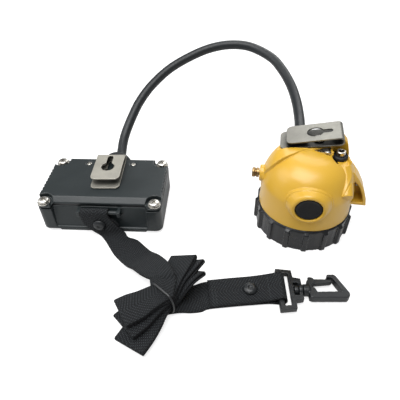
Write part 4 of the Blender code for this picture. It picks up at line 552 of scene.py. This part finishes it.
# ---- Battery case and lid
# Two charcoal mouldings of glass-filled nylon with a fine spark texture, screwed together over a rubber gasket.
# The texture is rubbed smoother and a little paler where hands and belts touch it.
charcoal = Finish("case_moulding", (0.022, 0.028, 0.030), 0.4, Specular_IOR_Level=0.45)
spark = charcoal.noise(2200.0, 4.0)
handled = charcoal.noise(38.0)
charcoal.set(Base_Color=charcoal.tints(handled, (0.010, 0.014, 0.015), (0.017, 0.023, 0.025)),
             Roughness=charcoal.between(handled, 0.34, 0.46), Normal=charcoal.bumps(spark, 0.00010, 0.5))
settle(moulded("case_moulding", "battery_case", 0.46, 5), charcoal, "lamp", "case", "battery_case")
settle(moulded("lid_moulding", "battery_lid", 0.34, 5), charcoal, "lamp", "lid", "battery_lid")
settle(eased("rim_gasket", "lid_gasket", 0.15), soft_black, "lamp", "rubber", "lid_gasket")

# ---- Lid screws, washers and studs
# Nickel-plated M4 pan heads with cross recesses on plain washers, in pockets at the lid's corners, and two small
# eyelets beside the clip. The plating is dulled, with dirt in the recesses.
plated = Finish("nickel_plate", (0.62, 0.6, 0.55), 0.26, metallic=1.0)
scuffs = plated.noise(700.0, 6.0)
dirt = plated.noise(210.0)
plated.set(Base_Color=plated.tints(dirt, (0.40, 0.385, 0.35), (0.74, 0.72, 0.67)),
           Roughness=plated.between(scuffs, 0.18, 0.42), Normal=plated.bumps(scuffs, 0.00002, 0.4))


def cross_head(name, radius, height, shank, depth, place, slot_turn=35.0):
    """A pan-head screw with a cross recess, its head's underside at the place."""
    profile = [(0, height)]
    for i in range(1, 9):
        t = radians(90 * i / 8)
        profile.append((radius * sin(t) ** 0.9, height * (0.42 + 0.58 * cos(t) ** 0.85)))
    profile += [(radius, 0.1), (radius - 0.1, 0), (shank, 0), (shank, -depth), (0, -depth)]
    screw = spun(name, profile, Matrix(), 48)
    bm = bmesh.new()
    for turn in (0, 90):
        arm = bmesh.ops.create_cube(bm, size=1.0)["verts"]
        bmesh.ops.scale(bm, vec=Vector((radius * 1.15, radius * 0.24, height * 1.3)) * MM, verts=arm)
        for vert in arm:
            if vert.co.z < 0:
                vert.co.x *= 0.55
                vert.co.y *= 0.7
        bmesh.ops.translate(bm, vec=Vector((0, 0, height * 1.05)) * MM, verts=arm)
        bmesh.ops.rotate(bm, cent=(0, 0, 0), matrix=Matrix.Rotation(radians(slot_turn + turn), 3, 'Z'), verts=arm)
    tool = shown(name + "_tool", bm)
    step = screw.modifiers.new("recess", 'BOOLEAN')
    step.operation = 'DIFFERENCE'
    step.solver = 'EXACT'
    step.use_self = True
    step.object = tool
    mesh = bpy.data.meshes.new_from_object(screw.evaluated_get(bpy.context.evaluated_depsgraph_get()))
    screw.modifiers.clear()
    mesh.transform(place)
    screw.data = mesh
    mesh.shade_smooth()
    mesh.set_sharp_from_angle(angle=radians(38))
    bpy.data.objects.remove(tool)
    return screw


LID_TOP, POCKET_FLOOR = 27.5, 24.3
screw_x, screw_y = 40.0, 23.2
for i, (sx, sy) in enumerate(((-1, -1), (1, -1), (-1, 1), (1, 1))):
    seat = BATTERY @ Matrix.Translation(Vector((sx * screw_x, sy * screw_y, POCKET_FLOOR)) * MM)
    ring = spun(f"washer_{i + 1}", [(4.4, 0.8), (4.5, 0.7), (4.5, 0.1), (4.4, 0), (2.3, 0), (2.3, 0.8)], seat)
    settle(ring, plated, "lamp", "fastener", f"lid_washer_{i + 1}")
    screw = cross_head(f"pan_screw_{i + 1}", 3.8, 2.3, 1.9, 12.0, seat @ Matrix.Translation((0, 0, 1.1 * MM)),
                       20.0 + 31.0 * i)
    settle(screw, plated, "lamp", "fastener", f"lid_screw_{i + 1}")
for i, sx in enumerate((-1, 1)):
    seat = BATTERY @ Matrix.Translation(Vector((sx * 17.5, 20.0, LID_TOP - 0.6)) * MM)
    eyelet = spun(f"eyelet_{i + 1}", [(0, -0.35), (0.6, -0.3), (0.75, 0.1), (0.95, 0.42), (1.3, 0.5), (1.65, 0.4),
                                      (1.85, 0.15), (1.9, 0), (1.0, 0), (1.0, -0.9), (0, -0.9)], seat, 40)
    settle(eyelet, plated, "lamp", "fastener", f"lid_stud_{i + 1}")

# ---- Battery clip
# One strip of 1 mm spring steel folded over on itself, with a keyhole for a helmet's stud. It is tumbled to a
# warm grey, with painted shade darkening it between its leaves, and its lower leaf is riveted to the lid.
BATTERY_GRIP = BATTERY @ Matrix.Translation(Vector((0.6, 24.8, 27.8)) * MM) @ Matrix.Rotation(radians(92), 4, 'Z')
warm_steel = Finish("tumbled_steel", (0.50, 0.48, 0.43), 0.42, metallic=1.0)
tumble = warm_steel.noise(1300.0, 5.0)
tone = warm_steel.noise(90.0)
# Painted shade: the colour falls towards near black where ambient occlusion finds the place closed in, as between the
# leaves.
warm_steel.set(Base_Color=warm_steel.tints(warm_steel.unshaded_share(0.008).sum_with('POWER', 1.6) * (0.75 + tone * 0.4),
                                           (0.03, 0.03, 0.028), (0.52, 0.50, 0.44)), Metallic=0.86,
               Roughness=warm_steel.between(tumble, 0.38, 0.58), Normal=warm_steel.bumps(tumble, 0.00005, 0.55))
settle(eased("belt_clip", "battery_clip", 0.16), warm_steel, "lamp", "clip_steel", "battery_clip")
for i, across in enumerate((-6.4, 6.4)):
    rivet = cross_head(f"clip_rivet_{i + 1}", 3.0, 1.2, 1.6, 2.9,
                       BATTERY_GRIP @ Matrix.Translation(Vector((-7.0, across, 1.3)) * MM))
    settle(rivet, plated, "lamp", "fastener", f"battery_clip_rivet_{i + 1}")

# ---- Battery gland
# A moulded rubber bush round the cable's exit, pressed into the rear wall: a thick flange with one shallow groove,
# and a short hollow nose that keeps the cable from bending at the wall.
gland_axis = BATTERY @ Matrix.Translation(Vector((1.0, 0, 16.4)) * MM) @ Matrix.Rotation(radians(-90), 4, 'X')
gland_rubber = Finish("gland_rubber", (0.009, 0.010, 0.011), 0.5, Specular_IOR_Level=0.4)
gland_grain = gland_rubber.noise(1400.0, 4.0)
gland_rubber.set(Base_Color=gland_rubber.tints(gland_rubber.noise(80.0), (0.006, 0.007, 0.008), (0.014, 0.015, 0.017)),
                 Roughness=gland_rubber.between(gland_grain, 0.5, 0.7),
                 Normal=gland_rubber.bumps(gland_grain, 0.0001, 0.5))
gland = spun("cable_bush", [(0, 41.3), (5.2, 41.3), (5.7, 40.9), (6.3, 39.6), (7.2, 38.5), (8.2, 38.1),
                            (9.4, 37.8), (10.4, 37.0), (11.1, 35.6), (11.4, 34.0), (11.4, 30.4), (11.2, 30.0),
                            (11.2, 29.6), (11.4, 29.2), (11.4, 26.3), (0, 26.3)], gland_axis)
settle(gland, gland_rubber, "lamp", "rubber", "battery_gland")

# ---- Inside the battery
# Two round cells in shrink sleeve lie in a white cradle, with nickel strips spot-welded to their ends and a small
# green protection board beside them. None of it shows once the lid is on.
sleeve = Finish("shrink_sleeve", (0.05, 0.16, 0.5), 0.35)
sleeve.set(Base_Color=sleeve.tints(sleeve.noise(70.0), (0.04, 0.13, 0.44), (0.06, 0.19, 0.55)),
           Roughness=sleeve.between(sleeve.noise(900.0), 0.28, 0.42))
tray_white = Finish("white_moulding", (0.78, 0.78, 0.74), 0.5)
tray_white.set(Base_Color=tray_white.tints(tray_white.noise(110.0), (0.72, 0.72, 0.68), (0.82, 0.82, 0.78)),
               Normal=tray_white.bumps(tray_white.noise(1600.0), 0.00006, 0.4))
laminate = Finish("board_laminate", (0.02, 0.16, 0.06), 0.42)
cells = laminate.node("TexVoronoi", {"feature": 'DISTANCE_TO_EDGE'}, {"Vector": laminate.place, "Scale": 420.0})
copper = cells > 0.08
laminate.set(Base_Color=laminate.tints(copper, (0.03, 0.24, 0.10), (0.014, 0.12, 0.045)),
             Roughness=laminate.between(laminate.noise(800.0), 0.34, 0.5), Normal=laminate.bumps(copper, 0.00004, 0.6))


def dress(finish, *nodes):
    """Gives CAD nodes that keep their shape a finish."""
    for node in nodes:
        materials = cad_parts[node].data.materials
        materials.clear()
        materials.append(finish.material)


dress(sleeve, "cell_1", "cell_2")
dress(tray_white, "cell_cradle")
dress(plated, "cell_link_strip", "cell_tab_1", "cell_tab_2")
dress(laminate, "protection_board")

# ---- Head shell
# The body of the head piece, injection moulded in glossy yellow plastic. Its clip saddle, button boss, post boss,
# contact hood and column flow into the dome through moulded fillets, and the gloss has a faint orange peel.
yellow = Finish("yellow_moulding", (0.66, 0.375, 0.030), 0.36, Specular_IOR_Level=0.5, Coat_Roughness=0.25)
peel = yellow.noise(420.0, 2.0)
flow = yellow.noise(26.0, 3.0)
yellow.set(Base_Color=yellow.tints(flow, (0.56, 0.320, 0.024), (0.63, 0.375, 0.034)),
           Roughness=yellow.between(flow, 0.34, 0.42), Coat_Weight=0.25, Normal=yellow.bumps(peel, 0.00006, 0.35))
shell = moulded("shell_moulding", "head_shell", 0.45, 5)
# The dome's outlines, as radius and height: what the softened skin lies near is drawn onto them, so that it is
# smooth where it faces the light, and the bosses and ridges that stand off it stay as they are.
front_dome = ((32.3, 18.7), (32.1, 24.0), (31.9, 34.0), (31.6, 39.0), (30.2, 43.5), (28.6, 47.0), (26.4, 50.6),
              (23.4, 54.0), (19.0, 57.0), (13.5, 59.0), (7.0, 59.9))
rear_dome = ((32.2, 30.0), (32.1, 38.0), (31.6, 43.0), (29.4, 49.0), (27.0, 53.5), (23.8, 57.0), (19.0, 59.4),
             (12.0, 60.5), (6.0, 60.9))
outlines = [p for dome in (front_dome, rear_dome) for p in along([Vector((r, z, 0)) * MM for r, z in dome], 200)]
pole, skirt, near_enough = 6.0 * MM, 18.7 * MM, 0.7 * MM
near = KDTree(len(outlines))
for i, p in enumerate(outlines):
    near.insert(p, i)
near.balance()
from_head = HEAD.inverted()
for vert in shell.data.vertices:
    spot = from_head @ vert.co
    wide = Vector((spot.x, spot.y)).length
    if wide < pole or spot.z < skirt:
        continue
    true, _, off = near.find(Vector((wide, spot.z, 0)))
    share = ease(near_enough - off, 0.0, 0.4 * MM)
    if share:
        scale = 1 + (true.x / wide - 1) * share
        vert.co = HEAD @ Vector((spot.x * scale, spot.y * scale, spot.z + (true.y - spot.z) * share))
settle(shell, yellow, "lamp", "shell", "head_shell")

# ---- Lens ring
# A black threaded ring that holds the lens. Upright grip bars stand on its wall, and both are chamfered at the
# top. The bars' edges have gone shiny from being turned by hand.
ring_black = Finish("ring_moulding", (0.009, 0.010, 0.012), 0.32, Specular_IOR_Level=0.5)
ring_grain = ring_black.noise(1500.0, 4.0)
ring_wear = ring_black.noise(65.0)
ring_black.set(Base_Color=ring_black.tints(ring_wear, (0.003, 0.004, 0.005), (0.009, 0.010, 0.012)),
               Roughness=ring_black.between(ring_wear, 0.2, 0.34), Normal=ring_black.bumps(ring_grain, 0.00006, 0.4))
settle(moulded("grip_ring", "lens_ring", 0.4, 4), ring_black, "ring", "ring", "lens_ring")

# ---- Lens and what is behind it
# A flat clear lens on a rubber gasket, a plated bowl with one LED on its board, and an aluminium heat sink. The
# driver board and the switch sit above. The lens lies on the ring's lip, next to the floor.
clear = Finish("clear_lens", (0.96, 0.98, 0.99), 0.03, Transmission_Weight=0.95, IOR=1.49)
clear.set(Roughness=clear.between(clear.noise(300.0), 0.02, 0.06))
lens = spun("lens_disc", [(0, 6.3), (29.2, 6.3), (29.5, 6.2), (29.6, 5.9), (29.6, 3.7), (29.5, 3.4), (29.2, 3.3),
                          (0, 3.3)], HEAD, 96)
settle(lens, clear, "lens_pack", "lens_glass", "lens")
gasket = spun("lens_seal", [(29.6, 7.6), (29.6, 6.8), (29.4, 6.6), (25.2, 6.6), (25.0, 6.8), (25.0, 7.6),
                            (25.2, 7.8), (29.4, 7.8)], HEAD, 96)
settle(gasket, gland_rubber, "lens_pack", "rubber", "lens_gasket")
silver = Finish("plated_bowl", (0.9, 0.9, 0.9), 0.07, metallic=1.0)
silver.set(Roughness=silver.between(silver.noise(160.0), 0.05, 0.11))
machined = Finish("machined_sink", (0.74, 0.74, 0.75), 0.36, metallic=1.0)
lathe = machined.noise(900.0, 2.0)
machined.set(Base_Color=machined.tints(lathe, (0.66, 0.66, 0.67), (0.78, 0.78, 0.79)),
             Roughness=machined.between(lathe, 0.3, 0.45))
phosphor = Finish("led_dome", (0.86, 0.80, 0.40), 0.25)
phosphor.set(Base_Color=phosphor.tints(phosphor.noise(1800.0), (0.84, 0.74, 0.26), (0.9, 0.86, 0.62)))
dress(silver, "reflector")
dress(laminate, "led_board", "driver_board")
dress(phosphor, "led")
dress(machined, "heat_sink")
dress(charcoal, "tact_switch")

# ---- Button
# A black rubber cap in the boss: a dished face inside a soft rim, and a flange behind the wall that keeps it in.
button_axis = HEAD @ Matrix.Translation((0, 0, 39.0 * MM)) @ Matrix.Rotation(radians(90), 4, 'X')
button = spun("rubber_button", [(0, 32.7), (3.0, 32.68), (5.4, 32.78), (6.8, 33.05), (7.5, 33.4), (7.9, 33.58),
                                (8.3, 33.45), (8.6, 33.1), (8.7, 32.7), (8.7, 29.1), (9.6, 29.1), (9.6, 27.6),
                                (2.0, 27.6), (2.0, 24.3), (0, 24.3)], button_axis, 72)
button_rubber = Finish("button_rubber", (0.005, 0.005, 0.006), 0.5, Specular_IOR_Level=0.3)
button_grain = button_rubber.noise(1700.0, 3.0)
button_rubber.set(Base_Color=button_rubber.tints(button_rubber.noise(150.0), (0.003, 0.003, 0.004),
                                                 (0.008, 0.008, 0.009)),
                  Roughness=button_rubber.between(button_grain, 0.46, 0.64),
                  Normal=button_rubber.bumps(button_grain, 0.00008, 0.5))
settle(button, button_rubber, "button", "rubber", "button_cap")

# ---- Charging post
# A turned brass post with a groove near its tip and a drilled end, tarnished brown, held by a hexagon nut inside.
post_axis = HEAD @ Matrix.Translation((0, 0, 39.6 * MM)) @ Matrix.Rotation(radians(-90), 4, 'Y')
tarnish = Finish("turned_brass", (0.42, 0.28, 0.12), 0.3, metallic=1.0)
rings_cut = tarnish.noise(1600.0, 2.0, tarnish.stretched(1.0, 0.08, 0.08))
age = tarnish.noise(240.0)
tarnish.set(Base_Color=tarnish.tints(age, (0.16, 0.095, 0.045), (0.42, 0.28, 0.12)),
            Roughness=tarnish.between(age, 0.22, 0.42), Normal=tarnish.bumps(rings_cut, 0.00004, 0.5))
post = spun("brass_post", [(0, 38.0), (1.1, 38.0), (1.3, 39.0), (1.5, 39.2), (2.9, 39.2), (3.3, 39.0), (3.45, 38.7),
                           (3.45, 37.3), (3.3, 37.1), (2.98, 36.9), (2.95, 36.4), (3.3, 36.15), (3.45, 36.0),
                           (3.45, 34.2), (2.0, 34.2), (2.0, 21.5), (0, 21.5)], post_axis)
settle(post, tarnish, "lamp", "brass", "charge_post")
settle(eased("post_nut", "charge_post_nut", 0.2), tarnish, "lamp", "brass", "charge_post_nut")

# ---- Charging contact
# A small domed steel pin in the rear wall of the hood, which the charger's finger touches.
pin_axis = HEAD @ Matrix.Translation(Vector((33.6, 3.5, 36.0)) * MM) @ Matrix.Rotation(radians(90), 4, 'X')
pin = spun("hood_pin", [(0, 2.2), (0.45, 2.12), (0.85, 1.86), (1.15, 1.45), (1.3, 1.0), (1.3, 0), (0.9, 0),
                        (0.9, -1.6), (0, -1.6)], pin_axis, 40)
settle(pin, plated, "lamp", "fastener", "contact_pin")

# ---- Head clip and its tab
# The same kind of folded strip as on the battery, brushed along its length and greyer, held through its keyhole by
# a pan-head screw. A three-cornered tab of plated sheet with its own small screw earths it to the shell.
HEAD_GRIP = HEAD @ Matrix.Translation(Vector((20.0, 15.8, 64.9)) * MM) @ Matrix.Rotation(radians(-10.8), 4, 'Y')
brushed = Finish("brushed_steel", (0.40, 0.395, 0.37), 0.36, metallic=1.0)
lines = brushed.noise(1900.0, 3.0, brushed.stretched(0.06, 1.0, 1.0))
tone = brushed.noise(75.0)
# Painted shade: the colour falls towards near black where ambient occlusion finds a crevice, between the leaves and
# through the keyhole.
brushed.set(Base_Color=brushed.tints(brushed.unshaded_share(0.009).sum_with('POWER', 2.2) * (0.72 + tone * 0.45),
                                     (0.010, 0.010, 0.009), (0.23, 0.225, 0.20)), Metallic=0.9,
            Roughness=brushed.between(lines, 0.34, 0.52), Normal=brushed.bumps(lines, 0.00005, 0.6))
settle(eased("helmet_clip", "head_clip", 0.16), brushed, "lamp", "clip_steel", "head_clip")
screw = cross_head("clip_screw", 3.8, 1.9, 1.6, 4.0, HEAD_GRIP @ Matrix.Translation(Vector((-16.3, -2.8, 1.3)) * MM))
settle(screw, plated, "lamp", "fastener", "head_clip_screw")
settle(eased("earth_tab", "clip_tab", 0.12), plated, "lamp", "clip_steel", "clip_tab")
screw = cross_head("tab_pan_screw", 1.8, 0.9, 0.7, 2.4,
                   HEAD_GRIP @ Matrix.Translation(Vector((-11.4, -14.2, -1.5)) * MM), 20.0)
settle(screw, plated, "lamp", "fastener", "tab_screw")

# ---- Contact tube
# A plated steel tube for the charger's plug, in a black rubber bush that stands in the cup on top of the column.
tube_axis = HEAD @ Matrix.Translation(Vector((18.8, 6.4, 0)) * MM)
bush = spun("tube_bush", [(4.2, 56.6), (4.8, 56.3), (5.2, 55.6), (5.2, 54.3), (3.4, 54.3), (3.4, 56.6)], tube_axis)
settle(bush, gland_rubber, "lamp", "rubber", "contact_bush")
tube = spun("plug_tube", [(0, 50.0), (1.9, 50.0), (1.9, 59.6), (2.1, 59.8), (2.8, 59.8), (3.1, 59.5), (3.1, 46.4),
                          (0, 46.4)], tube_axis)
settle(tube, plated, "lamp", "fastener", "contact_tube")

# ---- Head gland
# The tapered rubber strain relief where the cable goes into the boss at the back of the shell.
rear_axis = (HEAD @ Matrix.Translation((0, 0, 52.0 * MM)) @ Matrix.Rotation(radians(10), 4, 'Z')
             @ Matrix.Rotation(radians(-90), 4, 'X'))
relief = spun("strain_relief", [(0, 41.3), (4.4, 41.3), (4.9, 41.0), (5.25, 38.5), (5.6, 34.9), (6.0, 34.3),
                                (6.6, 34.0), (7.0, 33.3), (7.1, 32.4), (7.1, 31.3), (0, 31.3)], rear_axis)
settle(relief, gland_rubber, "lamp", "rubber", "head_gland")
